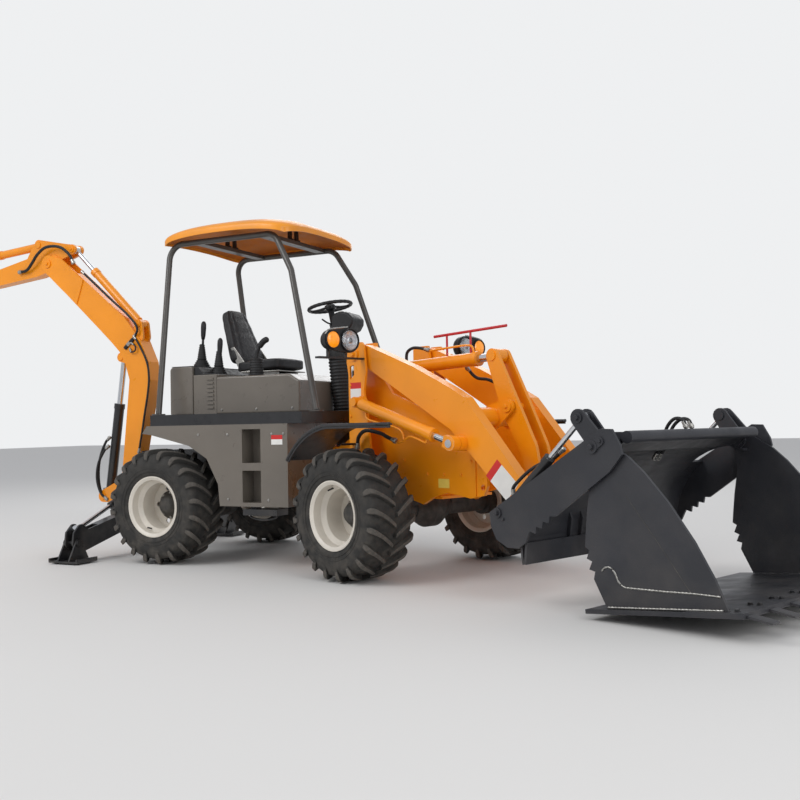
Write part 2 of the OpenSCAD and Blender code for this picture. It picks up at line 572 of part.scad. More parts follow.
fender_in = 478;
fender_out = 800;
fender_r = 536;
fender_front = 1460;
module front_fenders() color(charcoal) front() both() {
    c = [front_axle_x, tyre_r];
    t = 6;
    outline = concat(arc(c, fender_r, 143, 94, 10), [[fender_front, tyre_r + fender_r]]);
    inner = concat([[fender_front, tyre_r + fender_r - t]], arc(c, fender_r - t, 94, 143, 10));
    plate((fender_in + fender_out) / 2, fender_out - fender_in) polygon(concat(outline, inner));
    plate(fender_out - 6, 12) polygon(concat(outline, [for (p = inner) p - [0, 18]]));
    // Bracket from the tower
    box([tower_x0 + 30, tower_out, 798], [tower_x0 + 70, fender_in + 20, 812]);
}

lamp_x = 800;
lamp_z = 1448;
lamp_y = [528, 662];
module lamps() color(charcoal) front() both() {
    box([tower_x1 - 30, tower_out, lamp_z - 112], [tower_x1 + 10, 735, lamp_z - 100]);
    // [y, radius, depth]
    for (l = [[lamp_y[0], 72, 90], [lamp_y[1], 57, 80]]) {
        translate([lamp_x + 30, l[0], lamp_z]) rotate([0, -90, 0]) difference() {
            union() {
                cylinder(h = 24, r = l[1]);
                translate([0, 0, 24]) cylinder(h = l[2] - 24, r1 = l[1], r2 = l[1] * 0.45);
            }
            translate([0, 0, -1]) cylinder(h = 9, r = l[1] - 8);
        }
        translate([lamp_x - 28, l[0], lamp_z - 104]) cylinder(h = 80, r = 9);
    }
}

// Loader

module arms() color(orange) front() difference() {
    union() {
        both() plate(arm_y, arm_t) polygon(concat(
            arc(arm_pivot, 68, 80, 240, 10),
            [[764, 1290], [1142, 1082], [1488, 887], [1900, 504]],
            arc(arm_end, 60, 225, 400, 10),
            [[2026, 589], [1598, 1073], [1487, 1132], [1183, 1272], [760, 1432]]));
        both() bar(arm_pivot, arm_y - arm_t / 2 - 8, arm_y + arm_t / 2 + 8, 52);
        both() plate(arm_y + arm_t / 2 - 10, 20) link_2d(lift_eye, [1640, 870], 48, 48);
        both() bar(lift_eye, arm_y, lift_y - 30.4, 45);
        bar(cross_mid, -arm_y, arm_y, cross_r);
        both() plate(crank_in + crank_t + 6 + 10, 20) link_2d(cross_mid, crank_pivot, 75, 44);
        bar(crank_pivot, -crank_in - crank_t - 32, crank_in + crank_t + 32, pin_r);
        both() bar(crank_pivot, crank_in + crank_t + 26, crank_in + crank_t + 36, 34);
    }
    both() bar(arm_pivot, arm_y - arm_t, arm_y + arm_t, pin_r + pin_gap);
    both() bar(arm_end, arm_y - arm_t, arm_y + arm_t, pin_r + pin_gap);
}

lift_len = 700;
module lift_barrels() color(orange) front() both()
    barrel(lift_base, lift_eye, lift_y, lift_r, lift_len, 20, 34, 56, 17 + pin_gap);
module lift_rods() color(chrome_grey) front() both() {
    rod(lift_base, lift_eye, lift_y, 20, 180, 40, 60);
    bar(lift_eye, lift_y + 30, lift_y + 38, 24);
}

tilt_len = 720;
module tilt_barrel() color(orange) front()
    barrel(tilt_base, tilt_eye, 0, tilt_r, tilt_len, 25, 44, 82, 20 + pin_gap);
module tilt_rod() color(chrome_grey) front() rod(tilt_base, tilt_eye, 0, 25, 260, 42, 72);
module level_bar() color([0.75, 0.08, 0.08]) front() {
    rod_in([1040, 1478], [1640, 1500], 0, 9);
    slope = (tilt_eye[1] - tilt_base[1]) / (tilt_eye[0] - tilt_base[0]);
    for (x = [1150, 1350]) rod_in([x, tilt_base[1] + (x - tilt_base[0]) * slope + tilt_r + 2 * seat_gap], [x, 1485], 0, 7);
}

module bellcrank() color(orange) front() difference() {
    union() {
        both() plate(crank_in + crank_t / 2, crank_t) {
            link_2d(crank_pivot, tilt_eye, 66, 44);
            link_2d(crank_pivot, [1835, 770], 66, 58);
            link_2d([1835, 770], crank_low, 58, 46);
        }
        bar([1800, 800], -crank_in, crank_in, 22);
        both() bar(tilt_eye, crank_in + crank_t, crank_in + crank_t + 7, 30);
        both() bar(crank_low, crank_in + crank_t, crank_in + crank_t + 7, 30);
        bar(crank_low, -crank_in - 1, crank_in + 1, pin_r);
    }
    bar(crank_pivot, -crank_in - crank_t - 1, crank_in + crank_t + 1, pin_r + pin_gap);
}

module bucket_link() color(orange) front() difference() {
    plate(0, 72) link_2d(crank_low, link_eye, 42, 40);
    bar(crank_low, -40, 40, pin_r + pin_gap);
}

// Bucket: the rear half hangs on the arms, and the front half opens on it like a clam

module blade_side_2d() polygon([
    [2116, 470], [2125, 400], [2160, 335], [2230, 300], [2300, 300], [2345, 330],
    [2375, 390], [2410, 380], [2415, 415], [2450, 408], [2456, 442], [2491, 436], [2498, 470], [2532, 470],
    [2570, 497], [2846, 690], [2915, 770], [2905, 812], [2862, 885], [2800, 887]]);
module bucket_back() color(charcoal) front() {
    inner = bucket_y - bucket_t;
    hinge_in = 596;
    union() {
        both() plate(bucket_y - bucket_t / 2, bucket_t) blade_side_2d();
        // Curved back, cut away at the hinges
        plate(0, 2 * inner) shell_2d(128);
        plate(0, 2 * hinge_in) shell_2d(98);
        bar([2862, 845], -hinge_in - 14, hinge_in + 14, 30);
        plate(0, 2 * hinge_in) polygon([[2735, 772], [2862, 832], [2862, 850], [2728, 788]]);
        // Edge below the back
        plate(0, 2 * inner) polygon([[2322, 222], [2336, 222], [2346, 330], [2332, 330]]);
        // Inner hinge cheeks
        both() plate(hinge_in + 7, 14) polygon(concat(arc(clam_pivot, 46, 180, 340, 6), [[2850, 870], [2735, 870], [2640, 800], [2655, 770]]));
        both() bar(clam_pivot, hinge_in, bucket_y + 10, pin_r);
        both() bar(clam_pivot, bucket_y, bucket_y + 10, 32);
        both() plate(bucket_y + 4, 8) link_2d(clam_pivot, [2800, 830], 26, 20);
        // Clam cylinder pins
        both() bar(clam_base, 665 - 34, bucket_y + 10, 16);
        both() plate(665 - 34, 12) polygon([[2130, 500], [2130, 440], [2190, 400], [2330, 400], [2330, 470], [2220, 500]]);
        both() bar(clam_base, bucket_y, bucket_y + 8, 26);
        // Arm cheeks and their pins
        both() for (s = [-1, 1]) plate(arm_y + s * (arm_t / 2 + 3 + 7), 14) polygon(concat(arc(arm_end, 52, 90, 270, 8),
            [[2330, 290], [2350, 420], [2330, 480], [2230, 520]]));
        both() bar(arm_end, arm_y - arm_t / 2 - 22, arm_y + arm_t / 2 + 22, pin_r);
        // Link cheeks
        both() plate(36 + 3 + 8, 16) polygon(concat([[2240, 560]], [[2250, 625]], arc(link_eye, 44, 110, 20, 5),
            [[2420, 600], [2345, 480], [2328, 400], [2240, 420]]));
        both() bar(link_eye, 55, 62, 30);
        both() box([2230, 39, 400], [2245, 250, 540]);
        // Stiffeners on the back
        both() for (y = [150, 440]) plate(y, 10) polygon(concat(arc(back_mid, back_r + shell_t - 1, 185, 120, 8), arc(back_mid, back_r + 34, 125, 182, 8)));
    }
}
module shell_2d(a1) polygon(concat(arc(back_mid, back_r, 191, a1, 12), arc(back_mid, back_r + shell_t, a1, 191, 12)));

clam_in = 690;
clam_t = 16;
module clam_side_2d() polygon(concat(
    [[2931, 758], [3010, 690], [3130, 560], [3250, 400], [3340, 250], [3402, 118], [2800, 62], [2730, 190],
     [2738, 225], [2705, 232], [2722, 270], [2692, 282], [2708, 322], [2684, 335], [2690, 404], [2700, 500], [2722, 640]],
    arc(clam_pivot, 62, 200, 160, 3), [for (p = arc(clam_eye, 42, 215, 35, 8)) p], arc(clam_pivot, 62, 50, 20, 3)));
module bucket_clam() color(charcoal) front() difference() {
    floor_dir = atan2(118 - 62, 3402 - 2800);
    union() {
        both() plate(clam_in + clam_t / 2, clam_t) clam_side_2d();
        // Inner ear plates
        both() plate(632, 14) polygon(concat(arc(clam_pivot, 52, 200, 380, 8), arc(clam_eye, 42, 35, 215, 8)));
        both() box_on(clam_pivot, [-20, 639, -62], [30, clam_in, -48]);
        // Floor, its wear plate at the edge and its bevelled teeth
        translate([2800, 0, 62]) rotate([0, -floor_dir, 0]) {
            translate([-104, -bucket_y - 4, -22]) cube([740, 2 * bucket_y + 8, 20]);
            translate([420, -bucket_y - 12, -22]) cube([270, 2 * bucket_y + 24, 24]);
            for (i = [0:tooth_count - 1]) let (y = -bucket_y + 40 + i * (2 * bucket_y - 80) / (tooth_count - 1))
                tooth(y);
        }
        both() bar(clam_eye, clam_in + clam_t, clam_in + clam_t + 7, 26);
        both() bar(clam_eye, 618, 625, 26);
    }
    both() bar(clam_pivot, 600, bucket_y, pin_r + pin_gap);
}
module box_on(p, a, b) translate([p[0], 0, p[1]]) translate(a) cube(b - a);
module tooth(y) translate([0, y, 0]) plate(0, 64) polygon([[560, 2], [650, 2], [800, -36], [800, -44], [700, -22.1], [560, -22.1]]);

clam_len = 400;
clam_cyl_y = 665;
module clam_barrels() color(charcoal) front() both()
    barrel(clam_base, clam_eye, clam_cyl_y, clam_r, clam_len, 14, 28, 40, 16 + pin_gap);
module clam_rods() color(chrome_grey) front() both() rod(clam_base, clam_eye, clam_cyl_y, 14, 200, 28, 42);

// Backhoe

module swing_post() color(orange) rear() {
    back = king_x - 96;
    difference() {
        union() {
            translate([king_x, 0, king_z0 + 4]) cylinder(h = king_z1 - king_z0 - 8, r = 48);
            // Cheeks that carry the boom's foot and the boom cylinder
            both() plate(post_in + 9, 18) polygon(concat([[back, 350], [back, 582]],
                arc(boom_pivot, 60, 70, 150, 4), arc(boom_base, 46, 110, 270, 8)));
            box([back - 60, -post_in - 2, 376], [back, post_in + 2, 425]);
            box([back - 2, -40, 376], [king_x, 40, 425]);
            linear_plate(560, 22) difference() {
                polygon([[king_x, -44], [back, -post_in - 18], [back - 18, -post_in - 18], [back - 18, post_in + 18],
                    [back, post_in + 18], [king_x, 44]]);
                translate([king_x - 456, -post_in]) square([400, 2 * post_in]);
            }
            // Swing ears
            for (z = [swing_z - 43, swing_z + 25]) linear_plate(z, 18) link_2d([king_x, 0], swing_eye, 47, 30);
        }
        translate([king_x, 0, king_z0]) cylinder(h = king_z1 - king_z0, r = king_r + pin_gap);
    }
    bar(boom_pivot, -post_in - 20, post_in + 20, 22);
    bar(boom_base, -post_in - 20, post_in + 20, hoe_pin_r);
    both() bar(boom_pivot, post_in + 18, post_in + 24, 30);
    both() bar(boom_base, post_in + 18, post_in + 24, 28);
    translate([swing_eye[0], swing_eye[1], swing_z + 43]) cylinder(h = 8, r = 24);
}
post_in = 64;
king_r = 24;
king_z0 = 372;
king_z1 = 598;
swing_base = [-1150, 95];
swing_eye = [king_x, 120];
swing_z = 450;
// Turn of the front frame to either side
steer_max = 34;
module flat_rod(p, q, z, r) let (d = q - p)
    translate([p[0], p[1], z]) rotate([0, 90, atan2(d[1], d[0])]) cylinder(h = norm(d), r = r);
module swing_barrel() color(charcoal) rear() difference() {
    union() {
        translate([swing_base[0], swing_base[1], swing_z - 24]) cylinder(h = 48, r = 30);
        flat_rod(along(swing_base, swing_eye, 20), along(swing_base, swing_eye, 46), swing_z, 23);
        flat_rod(along(swing_base, swing_eye, 44), along(swing_base, swing_eye, 340), swing_z, 30);
    }
    translate([swing_base[0], swing_base[1], swing_z - 30]) cylinder(h = 60, r = 14 + pin_gap);
    flat_rod(along(swing_base, swing_eye, 60), along(swing_base, swing_eye, 341), swing_z, 15 + pin_gap);
}
module swing_rod() color(chrome_grey) rear() {
    flat_rod(along(swing_base, swing_eye, 190), along(swing_base, swing_eye, 520), swing_z, 15);
    translate([swing_eye[0], swing_eye[1], swing_z - 24]) cylinder(h = 48, r = 26);
}

dig_eye_w = 56;
lug_in = dig_eye_w / 2 + 1;
lug_t = 18;
tip_in = dipper_w / 2 + work_gap;
module boom() color(orange) rear() {
    difference() {
        union() {
            plate(0, boom_w) polygon(concat(
                arc(boom_pivot, 54, 170, 340, 8),
                [[-1775, 560], [-1712, 740], [-1585, 1308], [-1600, 1450], [-1684, 1628], [-1839, 1812],
                 [-2484, 2327], [-2580, 2380]],
                arc(dipper_pivot, 70, 60, 225, 8),
                [[-2100, 1735], [-1976, 1624], [-1890, 1540], [-1832, 1440], [-1794, 1316], [-1866, 690]]));
            both() plate(tip_in + 7, 14) polygon(concat([[-2484, 2327]], arc(dipper_pivot, 72, 60, 225, 8),
                [[-2500, 2090], [-2330, 1950], [-2260, 2140]]));
            // Lugs of the cylinders
            both() plate(lug_in + lug_t / 2, lug_t) link_2d(dipper_base, [-1712, 1655], 38, 50);
            both() plate(lug_in + lug_t / 2, lug_t) link_2d(boom_eye, [-1800, 1500], 36, 60);
            both() bar(boom_eye, lug_in + lug_t, lug_in + lug_t + 8, 26);
        }
        bar(boom_pivot, -boom_w, boom_w, 22 + pin_gap);
        // Slot at the tip for the dipper, and slots for the cylinders' eyes
        plate(0, 2 * tip_in) polygon(concat(arc(dipper_pivot, 175, 75, 285, 16), [[-2480, 2080], [-2330, 2190], [-2300, 2500]]));
        plate(0, 2 * lug_in) disc_2d(dipper_base, 46);
        for (d = [[0, 0], [36, -4], [-32, 8]]) plate(0, 2 * lug_in) disc_2d(boom_eye + d, 44);
        plate(0, 2 * lug_in) polygon([boom_eye + [-60, 10], boom_eye + [36, 10], boom_eye + [30, -130], boom_eye + [-60, -130]]);
    }
    bar(dipper_base, -lug_in - lug_t, lug_in + lug_t, hoe_pin_r);
    bar(dipper_pivot, -tip_in - 18, tip_in + 18, hoe_pin_r + 4);
    both() bar(dipper_pivot, tip_in + 14, tip_in + 24, 34);
    both() bar(dipper_base, lug_in + lug_t, lug_in + lug_t + 8, 26);
}

boom_len = 740;
module boom_barrel() color(charcoal) rear()
    barrel(boom_base, boom_eye, 0, boom_cyl_r, boom_len, 22, 42, 2 * post_in - 6, hoe_pin_r + pin_gap);
module boom_rod() color(chrome_grey) rear() rod(boom_base, boom_eye, 0, 22, 375, 34, dig_eye_w);

// A point on the dipper from its distance along it and above it
function on_dipper(p) = dipper_pivot + turned([-p[0], p[1]], dipper_drop);
function dipper_pts(list) = [for (p = list) on_dipper(p)];
hoe_pin = on_dipper([dipper_len, 0]);
rocker_foot = on_dipper(rocker_pivot);
rocker_tip = on_dipper(rocker_pivot + rocker_len * [cos(rocker_lean), sin(rocker_lean)]);
hoe_lug = on_dipper([dipper_len, 0] + hoe_pin_len * [cos(hoe_pin_lean), sin(hoe_pin_lean)]);
hoe_cyl_base = on_dipper(hoe_base);
// The link's knee, outward of the line between its pins
link_knee = let (d = rocker_tip - hoe_lug) (rocker_tip + hoe_lug) / 2 + 46 * [-d[1], d[0]] / norm(d);
hoe_in = dipper_w / 2 + work_gap;

module dipper() color(orange) rear() {
    difference() {
        plate(0, dipper_w) polygon(concat(
            dipper_pts(arc([0, 0], 64, 200, 285, 6)),
            dipper_pts([[150, -75], [dipper_len - 511, -60], [dipper_len - 40, -46]]),
            dipper_pts(arc([dipper_len, 0], 46, -80, 90, 7)),
            dipper_pts([[dipper_len - 60, 48], [dipper_len - 450, 66], [240, 96], [160, 190]]),
            dipper_pts(arc(hoe_base, 44, 10, 100, 5)),
            [dipper_eye + [-36, 44]], arc(dipper_eye, 40, 100, -70, 7), [dipper_pivot + [110, 20]]));
        bar(dipper_pivot, -dipper_w, dipper_w, hoe_pin_r + 4 + pin_gap);
        bar(hoe_pin, -dipper_w, dipper_w, hoe_pin_r + pin_gap);
        // Fork for the dipper cylinder, and slot for the bucket cylinder
        plate(0, 2 * lug_in) polygon([dipper_pivot + [95, -200], dipper_pivot + [400, -200], dipper_pivot + [400, 400],
            dipper_pivot + [95, 400]]);
        plate(0, 2 * lug_in) polygon(dipper_pts(arc(hoe_base, 46, 0, 360, 16)));
        plate(0, 2 * dig_cyl_r + 14) polygon(dipper_pts([[138, 138], [138, 300], [500, 300], [500, 138]]));
        plate(0, 2 * lug_in) polygon(dipper_pts([[90, 140], [90, 300], [150, 300], [150, 140]]));
    }
    bar(hoe_cyl_base, -dipper_w / 2, dipper_w / 2, hoe_pin_r);
    both() bar(hoe_cyl_base, dipper_w / 2, dipper_w / 2 + 8, 26);
    both() bar(dipper_eye, dipper_w / 2, dipper_w / 2 + 8, 26);
    bar(rocker_foot, -hoe_in - 24, hoe_in + 24, hoe_pin_r);
    both() bar(rocker_foot, hoe_in + 18, hoe_in + 26, 28);
}
module dipper_barrel() color(charcoal) rear()
    barrel(dipper_base, dipper_eye, 0, dig_cyl_r, 670, 18, 34, dig_eye_w, hoe_pin_r + pin_gap);
module dipper_rod() color(chrome_grey) rear() rod(dipper_base, dipper_eye, 0, 18, 240, 32, dig_eye_w);
module hoe_barrel() color(charcoal) rear()
    barrel(hoe_cyl_base, rocker_tip, 0, dig_cyl_r, 510, 18, 34, dig_eye_w, hoe_pin_r + pin_gap);
module hoe_rod() color(chrome_grey) rear() rod(hoe_cyl_base, rocker_tip, 0, 18, 305, 30, 44);
module hoe_rocker() color(orange) rear() both() {
    difference() {
        plate(hoe_in + 8, 16) link_2d(rocker_foot, rocker_tip, 36, 32);
        bar(rocker_foot, 0, 200, hoe_pin_r + pin_gap);
    }
    bar(rocker_tip, hoe_in + 16, hoe_in + 24, 24);
}
module hoe_link() color(orange) rear() difference() {
    union() {
        both() plate(32, 16) link_2d(rocker_tip, link_knee, 30, 28);
        both() plate(32, 16) link_2d(link_knee, hoe_lug, 28, 28);
        both() bar(rocker_tip, 24, hoe_in - 0.5, 26);
        both() bar(hoe_lug, 24, hoe_in - 1, 28);
        bar(link_knee, -26, 26, 14);
    }
    bar(hoe_lug, -60, 60, hoe_pin_r + pin_gap);
}
// The digging bucket's back, from its pin: [distance along the dipper, height above it]
hoe_back = [[60, -85], [95, 40], [170, 85], [310, 60], [415, -20], [465, -130], [455, -250], [361, -479]];
hoe_mid = [270, -170];
module hoe_bucket() color(charcoal) rear() {
    out = hoe_w / 2;
    t = 12;
    pin = [dipper_len, 0];
    last = len(hoe_back) - 1;
    back = [for (p = hoe_back) pin + p];
    inner = [for (p = hoe_back) pin + p + t * (hoe_mid - p) / norm(hoe_mid - p)];
    u = (hoe_back[last] - hoe_back[last - 1]) / norm(hoe_back[last] - hoe_back[last - 1]);
    n = [-u[1], u[0]];
    // Ears
    difference() {
        both() plate(hoe_in + 9, 18) polygon(dipper_pts(concat(
            [for (p = arc([0, 0], 44, 120, 290, 8)) pin + p],
            [pin + [110, -60], pin + [200, 20], pin + [190, 78]],
            [for (p = arc(hoe_pin_len * [cos(hoe_pin_lean), sin(hoe_pin_lean)], 38, 0, 130, 5)) pin + p])));
        both() bar(hoe_pin, 0, hoe_w, hoe_pin_r - 1);
    }
    both() plate(out - t / 2, t) polygon(dipper_pts(concat(back, [pin + [205, -250]])));
    plate(0, 2 * out - 2 * t + 2) polygon(dipper_pts(concat(back, [for (i = [last:-1:0]) inner[i]])));
    for (i = [0:hoe_teeth - 1]) let (y = -out + 40 + i * (2 * out - 80) / (hoe_teeth - 1), tip = back[last])
        plate(y, 44) polygon(dipper_pts([tip - u * 90 - n * 1, tip - u * 90 + n * 15, tip + u * 20 + n * 15,
            tip + u * 95 + n * 1, tip + u * 95 - n * 5, tip + u * 4 - n * 16, tip - u * 20 - n * 16]));
    bar(hoe_pin, -hoe_in - 22, hoe_in + 22, hoe_pin_r);
    bar(hoe_lug, -hoe_in - 22, hoe_in + 22, hoe_pin_r);
    both() bar(hoe_pin, hoe_in + 18, hoe_in + 26, 28);
    both() bar(hoe_lug, hoe_in + 18, hoe_in + 26, 28);
}

// Stabilizers, drawn on the near side

module at_side(side) mirror([0, side > 0 ? 1 : 0, 0]) children();
// A flat outline of [y, z] points as a plate of thickness t whose middle is at x
module cross_plate(x, t) translate([x - t / 2, 0, 0]) rotate([90, 0, 90]) linear_extrude(t) children();
// A round bar along the machine, at p = [y, z], from x0 to x1
module x_bar(p, x0, x1, r) translate([x0, p[0], p[1]]) rotate([0, 90, 0]) cylinder(h = x1 - x0, r = r);
// A round bar between two points of a cross plane at x
module cross_rod(p, q, x, r) let (d = q - p)
    translate([x, p[0], p[1]]) rotate([-atan2(d[0], d[1]), 0, 0]) cylinder(h = norm(d), r = r);

leg_eye_w = 54;
fork_in = leg_eye_w / 2 + 1;
fork_t = 14;
leg_half = fork_in + fork_t;
pad_z = 10;
module stab_leg(side) color(charcoal) rear() at_side(side) {
    x = -stab_x;
    difference() {
        union() {
            cross_plate(x, 2 * leg_half) polygon(concat(arc(leg_pivot, 58, -70, 100, 6), [[-840, 216], [-840, 74]]));
            for (s = [-1, 1]) cross_plate(x + s * (fork_in + fork_t / 2), fork_t) polygon(concat(
                arc(leg_foot, 42, 180, 290, 6), [[-820, 80], [-790, 228]], arc(leg_cyl_eye, 36, 60, 130, 4),
                [[-930, 215]]));
        }
        x_bar(leg_pivot, x - 60, x + 60, 20 + pin_gap);
        cross_plate(x, 2 * fork_in) disc_2d(leg_cyl_eye, 58);
        cross_plate(x, 2 * fork_in) polygon([leg_cyl_eye + [0, -58], leg_cyl_eye + [0, 70], leg_cyl_eye + [180, 140], leg_cyl_eye + [180, 0]]);
    }
    x_bar(leg_foot, x - leg_half - 18, x + leg_half + 18, 16);
    for (s = [-1, 1]) x_bar(leg_foot, x + s * (leg_half + 20) - 4, x + s * (leg_half + 20) + 4, 26);
}
module stab_pad(side) color(charcoal) rear() at_side(side) {
    x = -stab_x;
    for (s = [-1, 1]) difference() {
        cross_plate(x + s * (leg_half + 3 + 6), 12) polygon(concat(arc(leg_foot, 30, 10, 170, 6),
            [[leg_foot[0] - 95, pad_z + 14], [leg_foot[0] + 95, pad_z + 14]]));
        x_bar(leg_foot, x - 90, x + 90, 16 + pin_gap);
    }
    translate([x - pad_l / 2, leg_foot[0] - pad_w / 2, pad_z]) cube([pad_l, pad_w, 14]);
    for (s = [-1, 1]) cross_plate(x + s * (pad_l / 2 - 5), 10) polygon([[leg_foot[0] - pad_w / 2, pad_z],
        [leg_foot[0] + pad_w / 2, pad_z], [leg_foot[0] + pad_w / 2, pad_z + 30], [leg_foot[0] - pad_w / 2, pad_z + 30]]);
}
leg_len = 440;
module leg_barrel(side) color(charcoal) rear() at_side(side) difference() {
    x = -stab_x;
    eye_r = 30;
    union() {
        x_bar(leg_cyl_base, x - leg_eye_w / 2, x + leg_eye_w / 2, eye_r);
        cross_rod(along(leg_cyl_base, leg_cyl_eye, 22), along(leg_cyl_base, leg_cyl_eye, leg_len), x, 25);
        cross_rod(along(leg_cyl_base, leg_cyl_eye, leg_len - 36), along(leg_cyl_base, leg_cyl_eye, leg_len), x, fork_in - 1);
    }
    x_bar(leg_cyl_base, x - 60, x + 60, 14 + pin_gap);
    cross_rod(along(leg_cyl_base, leg_cyl_eye, 54), along(leg_cyl_base, leg_cyl_eye, leg_len + 1), x, 15 + pin_gap);
}
module leg_rod(side) color(chrome_grey) rear() at_side(side) {
    x = -stab_x;
    cross_rod(along(leg_cyl_base, leg_cyl_eye, 365), along(leg_cyl_eye, leg_cyl_base, 20), x, 15);
    x_bar(leg_cyl_eye, x - leg_eye_w / 2, x + leg_eye_w / 2, 28);
}

rear_frame();
rear_axle();
engine();
side_bodies();
deck();
hood();
canopy_frame();
canopy_roof();
seat();
steering_column();
control_levers();
front_frame();
front_axle();
front_fenders();
lamps();
color(charcoal) rear() at_wheel(-rear_axle_x, near) tyre();  // tyre_rear_right
color(rim_paint) rear() at_wheel(-rear_axle_x, near) rim();  // rim_rear_right
color(charcoal) rear() at_wheel(-rear_axle_x, far) faced(far) tyre();  // tyre_rear_left
color(rim_paint) rear() at_wheel(-rear_axle_x, far) faced(far) rim();  // rim_rear_left
color(charcoal) front() at_wheel(front_axle_x, near) tyre();  // tyre_front_right
color(rim_paint) front() at_wheel(front_axle_x, near) rim();  // rim_front_right
color(charcoal) front() at_wheel(front_axle_x, far) faced(far) tyre();  // tyre_front_left
color(rim_paint) front() at_wheel(front_axle_x, far) faced(far) rim();  // rim_front_left
arms();
lift_barrels();
lift_rods();
tilt_barrel();
tilt_rod();
level_bar();
bellcrank();
bucket_link();
bucket_back();
bucket_clam();
clam_barrels();
clam_rods();
swing_post();
swing_barrel();
swing_rod();
boom();
boom_barrel();
boom_rod();
dipper();
dipper_barrel();
dipper_rod();
hoe_barrel();
hoe_rod();
hoe_rocker();
hoe_link();
hoe_bucket();
stab_leg(near);  // leg_right
stab_pad(near);  // pad_right
leg_barrel(near);  // leg_barrel_right
leg_rod(near);  // leg_rod_right
stab_leg(far);  // leg_left
stab_pad(far);  // pad_left
leg_barrel(far);  // leg_barrel_left
leg_rod(far);  // leg_rod_left
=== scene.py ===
"""Looks of the small articulated backhoe loader: materials, small fittings, camera and light."""
import math

import bmesh
import bpy
from mathutils import Matrix, Vector


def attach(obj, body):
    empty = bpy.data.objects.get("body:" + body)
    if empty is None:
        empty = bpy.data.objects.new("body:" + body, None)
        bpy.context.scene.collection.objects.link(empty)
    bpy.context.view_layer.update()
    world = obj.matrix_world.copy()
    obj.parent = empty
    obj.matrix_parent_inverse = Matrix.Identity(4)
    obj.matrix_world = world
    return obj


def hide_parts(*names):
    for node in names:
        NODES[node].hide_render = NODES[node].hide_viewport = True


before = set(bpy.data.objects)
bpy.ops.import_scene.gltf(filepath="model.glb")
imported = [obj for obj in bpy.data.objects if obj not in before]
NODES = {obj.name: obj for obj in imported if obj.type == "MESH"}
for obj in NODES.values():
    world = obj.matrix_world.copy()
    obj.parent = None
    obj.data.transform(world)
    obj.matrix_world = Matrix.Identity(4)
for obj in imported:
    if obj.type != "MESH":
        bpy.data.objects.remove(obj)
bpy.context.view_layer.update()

# Driving sizes and places, in millimetres from the articulation pin, as in part.scad
FOOTPRINT = Vector((300, 455, 0))
TURN = math.radians(20)
REAR_AXLE_X = -955
FRONT_AXLE_X = 950
WHEEL_Y = 640
TYRE_R = 395
LUGS = 20
NUT_COUNT = 8
NUT_RING = 86
DECK_Z = 1020
HOOD_TOP = 1282
HOOD_Y = 450
HOOD_MID_Y = 440
REAR_BOX_TOP = DECK_Z + 345
CANOPY_Z = 2255
FENDER_R = 536
FENDER_IN = 478
FENDER_OUT = 798
FENDER_FRONT = 1458
WING_START = 1100
WING_CUT = 0.83
ROOF_X = (-1145, -20)
ROOF_Y = 510
ROOF_RISE = 85
CLAM_SIDE_Y = 706
ARM_OUT_Y = 340
TOWER_OUT_Y = 367
LAMP_X = 823
LAMP_Z = 1448
LIFT_BASE = (762, 1068)
LIFT_EYE = (1575, 810)
TILT_BASE = (700, 1290)
TILT_EYE = (1574, 1322)
STEER_HUB = (5, 0, 1772)
STEER_R = 0.152
TOOTH_COUNT = 8
TOOTH_Y = 690
CLAM_FLOOR = (2800, 62)
CLAM_SLOPE = math.atan2(56, 602)
# Lamps of one side: distance from the middle, radius of the lens and its glass
LAMPS = ((528, 68, "clear"), (662, 53, "amber"))


def rear(x, y, z):
    """A place on the rear frame, in metres of the shared frame."""
    return (Vector((x, y, z)) + FOOTPRINT) / 1000


def front(x, y, z):
    """A place on the turned front frame, in metres of the shared frame."""
    c, s = math.cos(TURN), math.sin(TURN)
    return (Vector((c * x + s * y, -s * x + c * y, z)) + FOOTPRINT) / 1000


def side_name(side):
    return "right" if side < 0 else "left"


def linear(hex_colour):
    """A colour as it shows, written like #rrggbb, as linear values."""
    out = []
    for i in (1, 3, 5):
        v = int(hex_colour[i:i + 2], 16) / 255
        out.append(v / 12.92 if v <= 0.04045 else ((v + 0.055) / 1.055) ** 2.4)
    return (*out, 1.0)


# Materials

def set_inputs(shader, values):
    for name, value in values.items():
        shader.inputs[name].default_value = value


